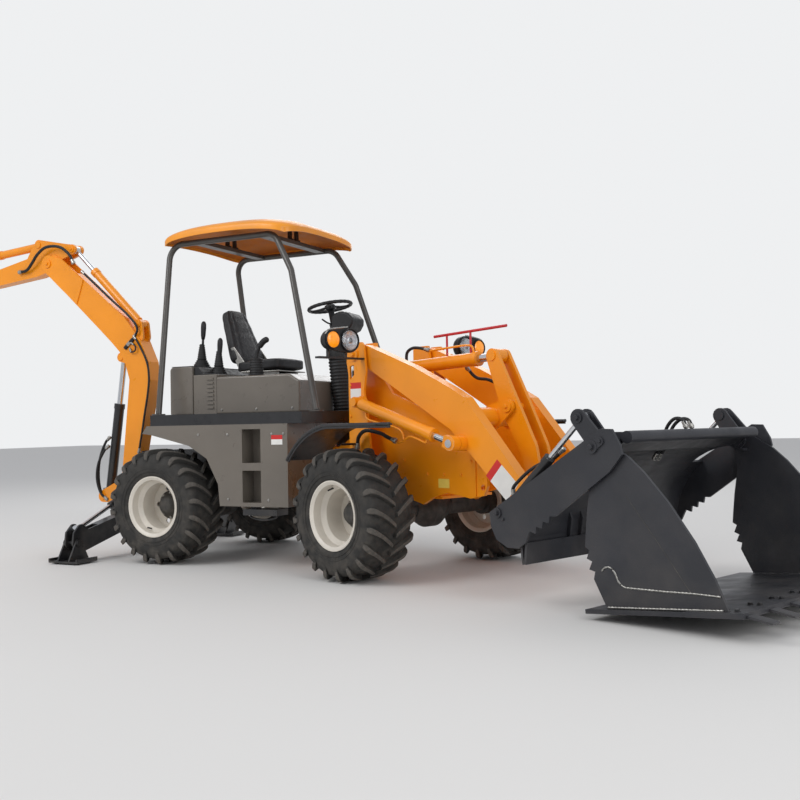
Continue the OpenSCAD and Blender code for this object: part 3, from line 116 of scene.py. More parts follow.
def make_material(name, colour, rough, metal=0.0, vary=0.12, scale=6.0, bump=0.02, bump_scale=180.0,
                  coat=0.0, dust=0.0):
    """A procedural material: noise moves its colour, roughness and surface, and dust gathers low down."""
    mat = bpy.data.materials.new(name)
    mat.use_nodes = True
    tree = mat.node_tree
    shader = tree.nodes["Principled BSDF"]
    set_inputs(shader, {"Metallic": metal, "Coat Weight": coat, "Coat Roughness": 0.12})
    coords = tree.nodes.new("ShaderNodeTexCoord")
    base = Vector(linear(colour)[:3])

    def noise(size, detail):
        tex = tree.nodes.new("ShaderNodeTexNoise")
        tex.inputs["Scale"].default_value = size
        tex.inputs["Detail"].default_value = detail
        tree.links.new(coords.outputs["Object"], tex.inputs["Vector"])
        return tex.outputs["Fac"]

    def ramp(source, low, high, a, b):
        r = tree.nodes.new("ShaderNodeValToRGB")
        r.color_ramp.elements[0].position = a
        r.color_ramp.elements[1].position = b
        r.color_ramp.elements[0].color = low
        r.color_ramp.elements[1].color = high
        tree.links.new(source, r.inputs["Fac"])
        return r.outputs["Color"]

    dark = (*(base * (1 - vary)), 1)
    light = (*(base * (1 + vary)), 1)
    colour_out = ramp(noise(scale, 5), dark, light, 0.35, 0.65)
    if dust > 0:
        split = tree.nodes.new("ShaderNodeSeparateXYZ")
        tree.links.new(coords.outputs["Object"], split.inputs[0])
        height = ramp(split.outputs["Z"], (1, 1, 1, 1), (0, 0, 0, 1), 0.0, 0.9)
        patches = ramp(noise(scale * 2.3, 8), (0, 0, 0, 1), (dust, dust, dust, 1), 0.4, 0.75)
        amount = tree.nodes.new("ShaderNodeMix")
        amount.data_type = "RGBA"
        amount.blend_type = "MULTIPLY"
        amount.inputs[0].default_value = 1.0
        tree.links.new(height, amount.inputs[6])
        tree.links.new(patches, amount.inputs[7])
        mix = tree.nodes.new("ShaderNodeMix")
        mix.data_type = "RGBA"
        tree.links.new(amount.outputs[2], mix.inputs[0])
        tree.links.new(colour_out, mix.inputs[6])
        mix.inputs[7].default_value = linear("#9c9184")
        colour_out = mix.outputs[2]
    tree.links.new(colour_out, shader.inputs["Base Color"])
    r0 = max(0.03, rough - 0.08)
    r1 = min(1.0, rough + 0.12)
    rough_out = ramp(noise(scale * 4, 6), (r0, r0, r0, 1), (r1, r1, r1, 1), 0.3, 0.7)
    tree.links.new(rough_out, shader.inputs["Roughness"])
    bumper = tree.nodes.new("ShaderNodeBump")
    bumper.inputs["Strength"].default_value = bump
    bumper.inputs["Distance"].default_value = 0.004
    tree.links.new(noise(bump_scale, 3), bumper.inputs["Height"])
    tree.links.new(bumper.outputs["Normal"], shader.inputs["Normal"])
    return mat


def make_glass(name, colour, painted_glow, clearness):
    """A pressed lamp glass: a clear coat over ribbed, lightly coloured glass. Its emission is a painted glow
    that stands in for light caught inside the glass.
    """
    mat = make_material(name, colour, 0.1, vary=0.25, scale=60, bump=0.5, bump_scale=90, coat=1.0)
    shader = mat.node_tree.nodes["Principled BSDF"]
    set_inputs(shader, {"Transmission Weight": clearness, "Emission Color": linear(colour),
                        "Emission Strength": painted_glow})
    return mat


MATS = {
    "orange": make_material("orange_paint", "#f7970a", 0.34, vary=0.05, scale=2.5, bump=0.06, coat=0.3),
    "canopy": make_material("canopy_fibreglass", "#f2991c", 0.42, vary=0.08, scale=4, bump=0.15,
                            bump_scale=60, coat=0.2),
    "lining": make_material("raw_fibreglass", "#cc720f", 0.6, vary=0.16, scale=5, bump=0.3, bump_scale=45),
    "taupe": make_material("taupe_paint", "#6f685f", 0.32, vary=0.06, scale=3, bump=0.08, coat=0.35,
                           dust=0.15),
    "black": make_material("black_paint", "#1d1d1f", 0.34, vary=0.15, scale=5, bump=0.08, coat=0.3,
                           dust=0.12),
    "bucket": make_material("bucket_paint", "#2b2c31", 0.42, vary=0.14, scale=2.2, bump=0.14, bump_scale=120,
                            dust=0.12),
    "tube": make_material("canopy_tube_paint", "#4c4945", 0.36, vary=0.08, scale=8, bump=0.05, coat=0.2),
    "vinyl": make_material("seat_vinyl", "#1c1c1e", 0.5, vary=0.12, scale=14, bump=0.35, bump_scale=420),
    "plastic": make_material("black_plastic", "#19191b", 0.45, vary=0.12, scale=9, bump=0.2, bump_scale=300),
    "rubber": make_material("hose_rubber", "#1a1a1b", 0.55, vary=0.15, scale=20, bump=0.25, bump_scale=500),
    "tyre": make_material("tyre_rubber", "#2d2c2a", 0.78, vary=0.12, scale=7, bump=0.3, bump_scale=220,
                          dust=0.22),
    "tread": make_material("worn_tread", "#504c47", 0.82, vary=0.14, scale=30, bump=0.35, bump_scale=160,
                           dust=0.25),
    "rim": make_material("rim_paint", "#dcd5c9", 0.4, vary=0.05, scale=6, bump=0.06, coat=0.15, dust=0.2),
    "chrome": make_material("chrome_rod", "#dcdee0", 0.1, metal=1.0, vary=0.03, scale=10, bump=0.02),
    "steel": make_material("bare_steel", "#a9a7a2", 0.35, metal=1.0, vary=0.15, scale=30, bump=0.2),
    "iron": make_material("cast_iron", "#3b3a38", 0.6, vary=0.2, scale=10, bump=0.3, bump_scale=150,
                          dust=0.3),
    "red": make_material("red_paint", "#c4202a", 0.35, vary=0.06, scale=6, bump=0.05, coat=0.3),
    "white": make_material("white_film", "#e9e7e2", 0.4, vary=0.04, scale=12, bump=0.03),
    "label_red": make_material("red_film", "#cf2a28", 0.4, vary=0.05, scale=12, bump=0.03),
    "label_yellow": make_material("yellow_film", "#f0d060", 0.4, vary=0.05, scale=12, bump=0.03),
    "clear": make_glass("lamp_glass", "#eef1f4", 0.0, clearness=0.9),
    # The amber glass gets a painted glow: an emission strength of 0.35 stands in for light caught inside the
    # lens.
    "amber": make_glass("amber_glass", "#ff9a12", 0.35, clearness=0.0),
}

NODE_MATS = {
    "orange": ["front_frame", "arms", "lift_barrels", "tilt_barrel", "bellcrank", "bucket_link", "swing_post",
               "boom", "dipper", "dipper_barrel", "hoe_barrel", "hoe_rocker", "hoe_link"],
    "canopy": ["canopy_roof"],
    "taupe": ["side_bodies", "hood"],
    "black": ["rear_frame", "deck", "front_fenders", "lamps", "boom_barrel", "swing_barrel", "leg_right",
              "leg_left", "pad_right", "pad_left", "leg_barrel_right", "leg_barrel_left", "clam_barrels"],
    "bucket": ["bucket_back", "bucket_clam", "hoe_bucket"],
    "tube": ["canopy_frame"],
    "vinyl": ["seat"],
    "plastic": ["steering_column", "control_levers"],
    "tyre": ["tyre_rear_right", "tyre_rear_left", "tyre_front_right", "tyre_front_left"],
    "rim": ["rim_rear_right", "rim_rear_left", "rim_front_right", "rim_front_left"],
    "chrome": ["lift_rods", "tilt_rod", "clam_rods", "swing_rod", "boom_rod", "dipper_rod", "hoe_rod",
               "leg_rod_right", "leg_rod_left"],
    "iron": ["engine", "rear_axle", "front_axle"],
    "red": ["level_bar"],
}
for key, names in NODE_MATS.items():
    for name in names:
        for s in NODES[name].material_slots:
            s.material = MATS[key]


# Making pieces

def add_piece(name, mesh, mat, body, smooth=True, bevel=0.0, segments=2, level=0):
    """Puts a mesh in the scene as a piece that rides on a body."""
    obj = bpy.data.objects.new(name, mesh)
    bpy.context.scene.collection.objects.link(obj)
    mesh.materials.append(MATS[mat])
    for poly in mesh.polygons:
        poly.use_smooth = smooth
    if bevel > 0:
        mod = obj.modifiers.new("edges", "BEVEL")
        mod.width = bevel
        mod.segments = segments
        mod.limit_method = "ANGLE"
        mod.angle_limit = math.radians(35)
        mod.harden_normals = smooth
    if level > 0:
        mod = obj.modifiers.new("round", "SUBSURF")
        mod.levels = level
        mod.render_levels = level
    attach(obj, body)
    return obj


def mesh_from(name, verts, faces):
    mesh = bpy.data.meshes.new(name)
    mesh.from_pydata([tuple(v) for v in verts], [], faces)
    mesh.validate()
    bm = bmesh.new()
    bm.from_mesh(mesh)
    bmesh.ops.recalc_face_normals(bm, faces=bm.faces)
    bm.to_mesh(mesh)
    bm.free()
    return mesh


def ring_faces(rings, count, closed=False):
    """The four-sided faces between rings of count points. The last ring joins the first if it is closed."""
    faces = []
    for i in range(rings if closed else rings - 1):
        for k in range(count):
            j = (k + 1) % count
            up = (i + 1) % rings * count
            faces.append((i * count + k, i * count + j, up + j, up + k))
    return faces


class Shape:
    """Collects vertices and faces of several solids into one mesh."""

    def __init__(self):
        self.verts = []
        self.faces = []

    def add(self, verts, faces):
        n = len(self.verts)
        self.verts += [Vector(v) for v in verts]
        self.faces += [[i + n for i in f] for f in faces]

    def rings(self, verts, count, close=True):
        """Rings of count points, joined one to the next, with a face over each end."""
        faces = ring_faces(len(verts) // count, count)
        if close:
            faces += [range(count)[::-1], range(len(verts) - count, len(verts))]
        self.add(verts, faces)

    def box(self, place, lo, hi):
        x, y, z = zip(lo, hi)
        self.add([place(x[i], y[j], z[k]) for i in (0, 1) for j in (0, 1) for k in (0, 1)],
                 [(0, 1, 3, 2), (4, 6, 7, 5), (0, 4, 5, 1), (2, 3, 7, 6), (0, 2, 6, 4), (1, 5, 7, 3)])

    def prism(self, place, outline, y0, y1):
        """An outline of (x, z) points drawn out across the machine."""
        n = len(outline)
        self.add([place(x, y, z) for y in (y0, y1) for x, z in outline],
                 [list(range(n)), list(range(2 * n - 1, n - 1, -1))]
                 + [(i, (i + 1) % n, n + (i + 1) % n, n + i) for i in range(n)])

    def lathe(self, base, axis, profile, segments=32, close=True):
        """A profile of (distance along the axis, radius) turned about it. Lengths are in metres."""
        axis = Vector(axis).normalized()
        u = axis.orthogonal().normalized()
        v = axis.cross(u)
        verts = []
        for along, radius in profile:
            for i in range(segments):
                a = 2 * math.pi * i / segments
                verts.append(Vector(base) + axis * along + (u * math.cos(a) + v * math.sin(a)) * radius)
        self.rings(verts, segments, close)

    def hex_bolt(self, base, axis, size):
        """A washer and a six-sided head standing on a surface. Sizes are in metres."""
        self.lathe(base, axis, [(0, size * 1.25), (size * 0.2, size * 1.25)], 18)
        self.lathe(base, axis, [(size * 0.2, size), (size * 0.8, size), (size * 0.95, size * 0.8)], 6)

    def tube(self, points, radius, sides=12):
        """A round tube along points, smoothed with a Catmull-Rom curve."""
        pts = [Vector(p) for p in points]
        ends = [pts[0] * 2 - pts[1]] + pts + [pts[-1] * 2 - pts[-2]]
        path = []
        for i in range(1, len(ends) - 2):
            p0, p1, p2, p3 = ends[i - 1:i + 3]
            for k in range(8):
                t = k / 8
                path.append(0.5 * (2 * p1 + (p2 - p0) * t + (2 * p0 - 5 * p1 + 4 * p2 - p3) * t * t
                                   + (3 * p1 - p0 - 3 * p2 + p3) * t ** 3))
        path.append(pts[-1])
        verts = []
        u = None
        for i, p in enumerate(path):
            d = (path[min(i + 1, len(path) - 1)] - path[max(i - 1, 0)]).normalized()
            u = d.orthogonal().normalized() if u is None else (u - d * u.dot(d)).normalized()
            v = d.cross(u)
            for k in range(sides):
                a = 2 * math.pi * k / sides
                verts.append(p + (u * math.cos(a) + v * math.sin(a)) * radius)
        self.rings(verts, sides)

    def piece(self, name, mat, body, **options):
        return add_piece(name, mesh_from(name, self.verts, self.faces), mat, body, **options)


# Wheels

def wheel_place(x, side, at):
    """Maps (angle, distance outward, radius) at a wheel to a place."""
    def place(angle, out, radius):
        return at(x + radius * math.cos(angle), side * (WHEEL_Y + out), TYRE_R + radius * math.sin(angle))
    return place


# The inner half of a tyre's section, (distance outward, radius), and the whole section
CARCASS_HALF = [(-146, 190.6), (-152, 209), (-160, 216), (-165, 228), (-169, 250), (-170, 285), (-167, 315),
                (-160, 338), (-146, 352), (-120, 360), (-60, 364)]
CARCASS = CARCASS_HALF + [(0, 366)] + [(-out, r) for out, r in reversed(CARCASS_HALF)]
# Sections of a lug from the middle of the tread to the side wall: (distance from the middle, top, half width)
LUG_SECTIONS = [(5, 391.5, 11), (40, 393.6, 12), (80, 392.8, 12.5), (115, 391, 13), (140, 387, 14.5),
                (156, 379, 16), (166, 364, 17), (171, 345, 14), (171.5, 326, 8)]
# How far a lug runs back, and over what distance from the middle
LUG_SKEW = 104
LUG_REACH = 165


def make_tyre(name, x, side, at):
    shape = Shape()
    place = wheel_place(x, side, at)
    turns = 96
    n = len(CARCASS)
    verts = [place(2 * math.pi * i / turns, out, r) for i in range(turns) for out, r in CARCASS]
    faces = [(i * n + k, ((i + 1) % turns) * n + k, ((i + 1) % turns) * n + (k + 1) % n, i * n + (k + 1) % n)
             for i in range(turns) for k in range(n)]
    shape.add(verts, faces)
    pitch = 2 * math.pi / LUGS
    tops = []
    for half in (-1, 1):
        for i in range(LUGS):
            start = (i + (0.5 if half < 0 else 0)) * pitch
            rows = []
            for out, top, wide in LUG_SECTIONS:
                bow = math.sin(math.pi * min(out / LUG_REACH, 1)) * 8
                mid = start + (-LUG_SKEW / 2 + LUG_SKEW * min(out, LUG_REACH) / LUG_REACH + bow) / TYRE_R
                foot = min(345, top - 14)
                for r, w in ((foot, wide + 5), (top - 4, wide + 1), (top, wide - 1.5), (top, 1.5 - wide),
                             (top - 4, -wide - 1), (foot, -wide - 5)):
                    rows.append(place(mid + w / TYRE_R, half * min(out, 171.8), r))
            m = 6
            cells = [(k * m + j, k * m + j + 1, (k + 1) * m + j + 1, (k + 1) * m + j)
                     for k in range(len(LUG_SECTIONS) - 1) for j in range(m - 1)]
            tops += [len(shape.faces) + k for k in range(len(cells)) if k % (m - 1) in (1, 2, 3)]
            cells.append(list(range(m)))
            cells.append(list(range((len(LUG_SECTIONS) - 1) * m, len(LUG_SECTIONS) * m))[::-1])
            shape.add(rows, cells)
    # Two raised rings on the side walls
    for out, r in ((170, 262), (170, 240), (-170, 262), (-170, 240)):
        ring = [place(2 * math.pi * i / turns, out + dy, r + dr) for i in range(turns)
                for dy, dr in ((0, -3), (math.copysign(2.2, out), 0), (0, 3))]
        shape.add(ring, [(i * 3 + k, ((i + 1) % turns) * 3 + k, ((i + 1) % turns) * 3 + k + 1, i * 3 + k + 1)
                         for i in range(turns) for k in range(2)])
    tyre = shape.piece("tread_" + name, "tyre", "wheel_" + name)
    tyre.data.materials.append(MATS["tread"])
    for k in tops:
        tyre.data.polygons[k].material_index = 1
    mod = tyre.modifiers.new("crisp", "EDGE_SPLIT")
    mod.split_angle = math.radians(38)
    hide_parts("tyre_" + name)


def make_hub(name, x, side, at):
    """The black hub in the dish with its ring of nuts, and the valve."""
    body = "wheel_" + name
    axis = at(0, side, 0) - at(0, 0, 0)
    hub = Shape()
    base = at(x, side * (WHEEL_Y - 48), TYRE_R)
    hub.lathe(base, axis, [(0, 0.098), (0.012, 0.098), (0.016, 0.078), (0.05, 0.07), (0.075, 0.05),
                           (0.08, 0.03)], 40)
    hub.piece("hub_" + name, "iron", body)
    nuts = Shape()
    for i in range(NUT_COUNT):
        a = 2 * math.pi * i / NUT_COUNT
        spot = at(x + NUT_RING * math.cos(a), side * (WHEEL_Y - 36), TYRE_R + NUT_RING * math.sin(a))
        nuts.hex_bolt(spot, axis, 0.0095)
    nuts.piece("nuts_" + name, "steel", body, smooth=False)
    valve = Shape()
    a = math.radians(115 if "front" in name else 245)
    inner = at(x + 176 * math.cos(a), side * (WHEEL_Y + 70), TYRE_R + 176 * math.sin(a))
    tip = at(x + 160 * math.cos(a), side * (WHEEL_Y + 128), TYRE_R + 160 * math.sin(a))
    valve.tube([inner, (inner + tip) / 2 + axis * 0.004, tip], 0.005)
    valve.piece("valve_" + name, "rubber", body)


for axle, axle_at, axle_x in (("rear", rear, REAR_AXLE_X), ("front", front, FRONT_AXLE_X)):
    for wheel_side in (-1, 1):
        wheel = f"{axle}_{side_name(wheel_side)}"
        make_tyre(wheel, axle_x, wheel_side, axle_at)
        make_hub(wheel, axle_x, wheel_side, axle_at)


# Canopy roof: one domed sheet with turned-down edges

def make_roof():
    nx, ny = 56, 52
    mid_x = (ROOF_X[0] + ROOF_X[1]) / 2
    half_x = (ROOF_X[1] - ROOF_X[0]) / 2
    z0 = CANOPY_Z + 21.3

    def height(u, v):
        fall_x = (1 - abs(u) ** 2.6) ** 0.62 if abs(u) < 1 else 0
        fall_y = (1 - abs(v) ** 3.2) ** 0.6 if abs(v) < 1 else 0
        rib = 5 * math.exp(-((abs(v) - 0.45) / 0.05) ** 2) * (1 - abs(u) ** 6)
        # The rim is arched along each side, so that the corners droop
        arch = 46 * (1 - abs(u) ** 2.4) * abs(v) ** 2 + 30 * (1 - abs(v) ** 2.4) * abs(u) ** 2
        return (ROOF_RISE + 36) * fall_x * fall_y + rib * fall_y + arch * (1 - fall_x * fall_y * 0.6)

    def sheet(inset, drop):
        hx, hy = half_x - inset, ROOF_Y - inset
        rows = []
        for i in range(nx + 1):
            for j in range(ny + 1):
                u = math.sin(math.pi / 2 * (2 * i / nx - 1))
                v = math.sin(math.pi / 2 * (2 * j / ny - 1))
                # Rounded plan corners
                k = 1 - 0.10 * (abs(u) * abs(v)) ** 6
                rows.append(rear(mid_x + hx * u * k, hy * v * k, z0 - 4 + height(u, v) - drop))
        return rows

    def grid_faces(flip):
        out = []
        for i in range(nx):
            for j in range(ny):
                a = i * (ny + 1) + j
                f = (a, a + 1, a + ny + 2, a + ny + 1)
                out.append(f[::-1] if flip else f)
        return out

    shape = Shape()
    top = sheet(0, 0)
    under = sheet(6, 7)
    shape.add(top, grid_faces(False))
    shape.add(under, grid_faces(True))
    lining = Shape()
    lining.add(sheet(9, 8), grid_faces(True))
    lining.piece("roof_lining", "lining", "chassis")
    n = len(top)
    edge = ([(i, 0) for i in range(nx)] + [(nx, j) for j in range(ny)] + [(i, ny) for i in range(nx, 0, -1)]
            + [(0, j) for j in range(ny, 0, -1)])
    ids = [i * (ny + 1) + j for i, j in edge]
    lip_out = [top[k] - Vector((0, 0, 0.030)) for k in ids]
    lip_in = [under[k] - Vector((0, 0, 0.023)) for k in ids]
    base = len(shape.verts)
    shape.verts += lip_out + lip_in
    m = len(ids)
    for k in range(m):
        j = (k + 1) % m
        shape.faces.append([ids[k], ids[j], base + j, base + k])
        shape.faces.append([base + k, base + j, base + m + j, base + m + k])
        shape.faces.append([base + m + k, base + m + j, n + ids[j], n + ids[k]])
    roof = shape.piece("roof_sheet", "canopy", "chassis")
    mod = roof.modifiers.new("crisp", "EDGE_SPLIT")
    mod.split_angle = math.radians(50)
    blocks = Shape()
    for x in (-870, -320):
        for y in (-44, 44):
            blocks.lathe(rear(x + 25, y, z0 - 7), (0, 0, 1), [(0, 0.03), (0.012, 0.03), (0.016, 0.017),
                                                              ((ROOF_RISE - 6) / 1000, 0.017)], 24)
    blocks.piece("roof_mounts", "black", "chassis", bevel=0.003)
    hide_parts("canopy_roof")


make_roof()


# Hood under the seat, with its louvres, and the box behind it

def make_hood():
    main = Shape()
    main.prism(rear, [(-668, DECK_Z), (17, DECK_Z), (17, HOOD_TOP - 48), (-63, HOOD_TOP), (-668, HOOD_TOP)],
               -HOOD_Y, HOOD_Y)
    hood = main.piece("hood_cover", "taupe", "chassis", bevel=0.014, segments=4)
    middle = Shape()
    middle.box(rear, (-874, -HOOD_MID_Y, DECK_Z), (-669, HOOD_MID_Y, HOOD_TOP + 20))
    middle.piece("hood_middle", "taupe", "chassis", bevel=0.006, segments=3)
    back = Shape()
    back.prism(rear, [(-1076, DECK_Z), (-876, DECK_Z), (-876, REAR_BOX_TOP), (-1058, REAR_BOX_TOP),
                      (-1076, REAR_BOX_TOP - 18)], -HOOD_Y, HOOD_Y)
    back.piece("rear_box", "taupe", "chassis", bevel=0.012, segments=4)
    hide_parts("hood")
    seams = Shape()
    for side in (-1, 1):
        y = side * (HOOD_MID_Y + 1)
        for i in range(8):
            z = DECK_Z + 36 + i * 29
            seams.prism(rear, [(-752, z), (-690, z), (-690, z + 5), (-752, z + 5)], y, y + side * 1.5)
            seams.prism(rear, [(-748, z + 5), (-694, z + 5), (-697, z + 20), (-745, z + 20)],
                        y - side * 2, y + side * 7)
    seams.piece("louvres", "taupe", "chassis", bevel=0.002)
    cover = Shape()
    cover.box(rear, (-1064, -442, REAR_BOX_TOP), (-878, 442, REAR_BOX_TOP + 4))
    cover.piece("rear_box_top", "plastic", "chassis", bevel=0.002)
    tray = Shape()
    tray.prism(rear, [(-873, HOOD_TOP + 20), (-690, HOOD_TOP + 20), (-690, HOOD_TOP + 26),
                      (-796, HOOD_TOP + 30), (-838, HOOD_TOP + 76), (-873, HOOD_TOP + 78)], -428, 428)
    tray.piece("lever_tray", "plastic", "chassis", bevel=0.004)
    bolts = Shape()
    for side in (-1, 1):
        axis = rear(0, side, 0) - rear(0, 0, 0)
        for x, z in ((-40, DECK_Z + 30), (-620, DECK_Z + 30), (-330, DECK_Z + 30)):
            bolts.hex_bolt(rear(x, side * HOOD_Y, z), axis, 0.007)
    bolts.piece("hood_bolts", "steel", "chassis", smooth=False)


make_hood()


# Seat: two padded vinyl pieces with sewn channels, on a steel slide

def pad_mesh(name, size, crown, channels, to_place):
    """A padded slab about its middle, with crowned faces, drawn-in sides and channels pressed in."""
    bm = bmesh.new()
    bmesh.ops.create_cube(bm, size=2)
    bmesh.ops.subdivide_edges(bm, edges=bm.edges[:], cuts=15, use_grid_fill=True)
    for v in bm.verts:
        u, w, h = v.co
        round_off = (abs(u) ** 8 + abs(w) ** 8 + abs(h) ** 8) ** (1 / 8)
        u, w, h = u / round_off, w / round_off, h / round_off
        bulge = crown * (1 - u * u) * (1 - w * w)
        pinch = 1 - 0.03 * (1 - u * u)
        dent = sum(0.006 * math.exp(-((u - c) / 0.035) ** 2) for c in channels)
        dent += 0.005 * math.exp(-((abs(w) - 0.62) / 0.04) ** 2)
        z = h * size[2] / 2 + math.copysign(1, h) * (bulge - dent) * min(1, abs(h) * 3)
        v.co = to_place(u * size[0] / 2, w * pinch * size[1] / 2, z)
    mesh = bpy.data.meshes.new(name)
    bm.to_mesh(mesh)
    bm.free()
    return mesh


def make_seat():
    seat_mid = rear(-505, 0, HOOD_TOP + 88)
    back_mid = rear(-768, 0, HOOD_TOP + 310)
    lean = math.radians(20)

    def in_cushion(u, w, h):
        tip = 0.05 * u
        return seat_mid + Vector((u, w, h + tip))

    def in_back(u, w, h):
        # u runs up the backrest and h out of its front face
        taper = 0.88 - 1.1 * u - 0.9 * max(0, u - 0.14)
        return back_mid + Vector((-u * math.sin(lean) + h * math.cos(lean), w * taper,
                                  u * math.cos(lean) + h * math.sin(lean)))

    mesh = pad_mesh("seat_cushion", (0.37, 0.38, 0.075), 0.014, (-0.35, 0.2), in_cushion)
    cushion = add_piece("seat_cushion", mesh, "vinyl", "chassis", level=1)
    mesh = pad_mesh("seat_back", (0.42, 0.36, 0.070), 0.012, (-0.3, 0.15, 0.6), in_back)
    backrest = add_piece("seat_back", mesh, "vinyl", "chassis", level=1)
    slide = Shape()
    slide.box(rear, (-620, -150, HOOD_TOP), (-350, 150, HOOD_TOP + 14))
    slide.box(rear, (-610, -140, HOOD_TOP + 14), (-360, -112, HOOD_TOP + 46))
    slide.box(rear, (-610, 112, HOOD_TOP + 14), (-360, 140, HOOD_TOP + 46))
    bracket = [(-650, HOOD_TOP + 46), (-570, HOOD_TOP + 46), (-608, HOOD_TOP + 100), (-708, HOOD_TOP + 230),
               (-736, HOOD_TOP + 222), (-680, HOOD_TOP + 90)]
    for y in (-172, 172):
        slide.prism(rear, bracket, y - 5, y + 5)
    slide.box(rear, (-650, -178, HOOD_TOP + 38), (-320, 178, HOOD_TOP + 46))
    frame_piece = slide.piece("seat_slide", "steel", "chassis", smooth=False, bevel=0.002)
    for p in (cushion, backrest, frame_piece):
        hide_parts("seat")


make_seat()


# Controls: pleated boots, sticks and grips; the bellows column, the dash and the steering wheel

def pleats(z0, z1, r0, r1, count, depth):
    """A bellows profile: (height, radius) pairs in metres."""
    out = []
    for i in range(count):
        for part, shift in ((0, -depth), (0.35, depth), (0.65, depth)):
            t = (i + part) / count
            out.append((z0 + (z1 - z0) * t, r0 + (r1 - r0) * t + shift))
    out.append((z1, r1 - depth))
    return out


def make_controls():
    boots = Shape()
    sticks = Shape()
    grips = Shape()
    # Foot, tilt about Y in degrees, height, boot radius
    for foot, tilt, height, wide in ((rear(-980, -200, REAR_BOX_TOP + 4), 4, 0.345, 0.068),
                                     (rear(-800, -238, HOOD_TOP + 26), 4, 0.270, 0.064)):
        axis = Vector((math.sin(math.radians(tilt)), 0, math.cos(math.radians(tilt))))
        boots.lathe(foot, (0.03, 0, 1), [(z, r) for z, r in pleats(0.0, 0.06, wide, 0.034, 4, 0.0035)
                                         + pleats(0.06, 0.175, 0.034, 0.017, 7, 0.002)], 28)
        sticks.lathe(foot, axis, [(0.12, 0.009), (height - 0.1, 0.009)], 14)
        grips.lathe(foot, axis, [(height - 0.135, 0.012), (height - 0.11, 0.017), (height - 0.05, 0.02),
                                 (height - 0.02, 0.019), (height - 0.005, 0.012), (height, 0.004)], 20)
    # The joystick beside the seat curves forward to a thick grip
    boots.lathe(rear(-405, -330, HOOD_TOP), (0, 0, 1), pleats(0.0, 0.125, 0.052, 0.038, 7, 0.004), 28)
    bend = [rear(x, -330, HOOD_TOP + rise)
            for x, rise in ((-404, 110), (-400, 160), (-378, 208), (-344, 240), (-318, 252))]
    sticks.tube(bend[:3], 0.013, 16)
    grips.tube(bend[2:], 0.021, 18)
    grips.lathe(bend[4], bend[4] - bend[3], [(-0.004, 0.021), (0.006, 0.019), (0.013, 0.012),
                                             (0.016, 0.004)], 18)
    grip = grips.piece("lever_grips", "plastic", "chassis")
    boots.piece("lever_boots", "rubber", "chassis")
    sticks.piece("lever_sticks", "plastic", "chassis")
    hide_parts("control_levers")

    column = Shape()
    column.lathe(rear(92, 0, DECK_Z), (0, 0, 1), [(0, 0.072), (0.012, 0.072), (0.014, 0.06)], 32)
    column.lathe(rear(92, 0, DECK_Z + 14), (-0.055, 0, 1), pleats(0.0, 0.352, 0.058, 0.074, 15, 0.004), 36)
    column.lathe(rear(72, 0, DECK_Z + 366), (-0.1, 0, 1), [(0, 0.07), (0.02, 0.076), (0.10, 0.066),
                                                           (0.2, 0.045)], 32)
    bellows = column.piece("column_bellows", "rubber", "chassis")
    dash = Shape()
    dash.prism(rear, [(60, 1590), (76, 1566), (130, 1556), (208, 1592), (232, 1630), (236, 1670), (200, 1706),
                      (150, 1722), (96, 1718), (64, 1690)], -90, 90)
    dash.piece("dash_pod", "plastic", "chassis", bevel=0.022, segments=5)
    gauges = Shape()
    for y in (-48, 0, 48):
        gauges.lathe(rear(122, y, 1719), (-0.1, 0, 1), [(0, 0.021), (0.006, 0.021), (0.007, 0.018)], 28)
    gauges.piece("dash_gauges", "steel", "chassis")
    lean = math.radians(10)
    hub = rear(*STEER_HUB)
    up = Vector((-math.sin(lean), 0, math.cos(lean)))
    along = Vector((math.cos(lean), 0, math.sin(lean)))
    across = Vector((0, 1, 0))
    wheel = Shape()
    ring = []
    turns, sides = 72, 14
    for i in range(turns):
        a = 2 * math.pi * i / turns
        out = along * math.cos(a) + across * math.sin(a)
        for k in range(sides):
            b = 2 * math.pi * k / sides
            grip_r = 0.0125 + 0.0008 * math.cos(24 * a)
            ring.append(hub + out * (STEER_R + grip_r * math.cos(b)) + up * grip_r * math.sin(b))
    wheel.add(ring, ring_faces(turns, sides, closed=True))
    wheel.lathe(hub, up, [(-0.03, 0.026), (-0.012, 0.036), (0.008, 0.038), (0.014, 0.03), (0.016, 0.012)], 32)
    for a in (60, 180, 300):
        out = along * math.cos(math.radians(a)) + across * math.sin(math.radians(a))
        wheel.tube([hub + out * 0.03, hub + out * 0.09 - up * 0.004, hub + out * 0.148], 0.0095, 12)
    foot = rear(62, 0, 1540)
    wheel.lathe(foot, hub - foot, [(0, 0.034), (0.11, 0.034), (0.115, 0.024), (0.225, 0.02)], 24)
    wheel.tube([rear(40, -10, 1640), rear(24, -70, 1650), rear(10, -120, 1672)], 0.006, 10)
    wheel.piece("steering_wheel", "plastic", "chassis")
    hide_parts("steering_column")


make_controls()


# Lamps: pods, reflectors, lenses and bezels round the CAD housings

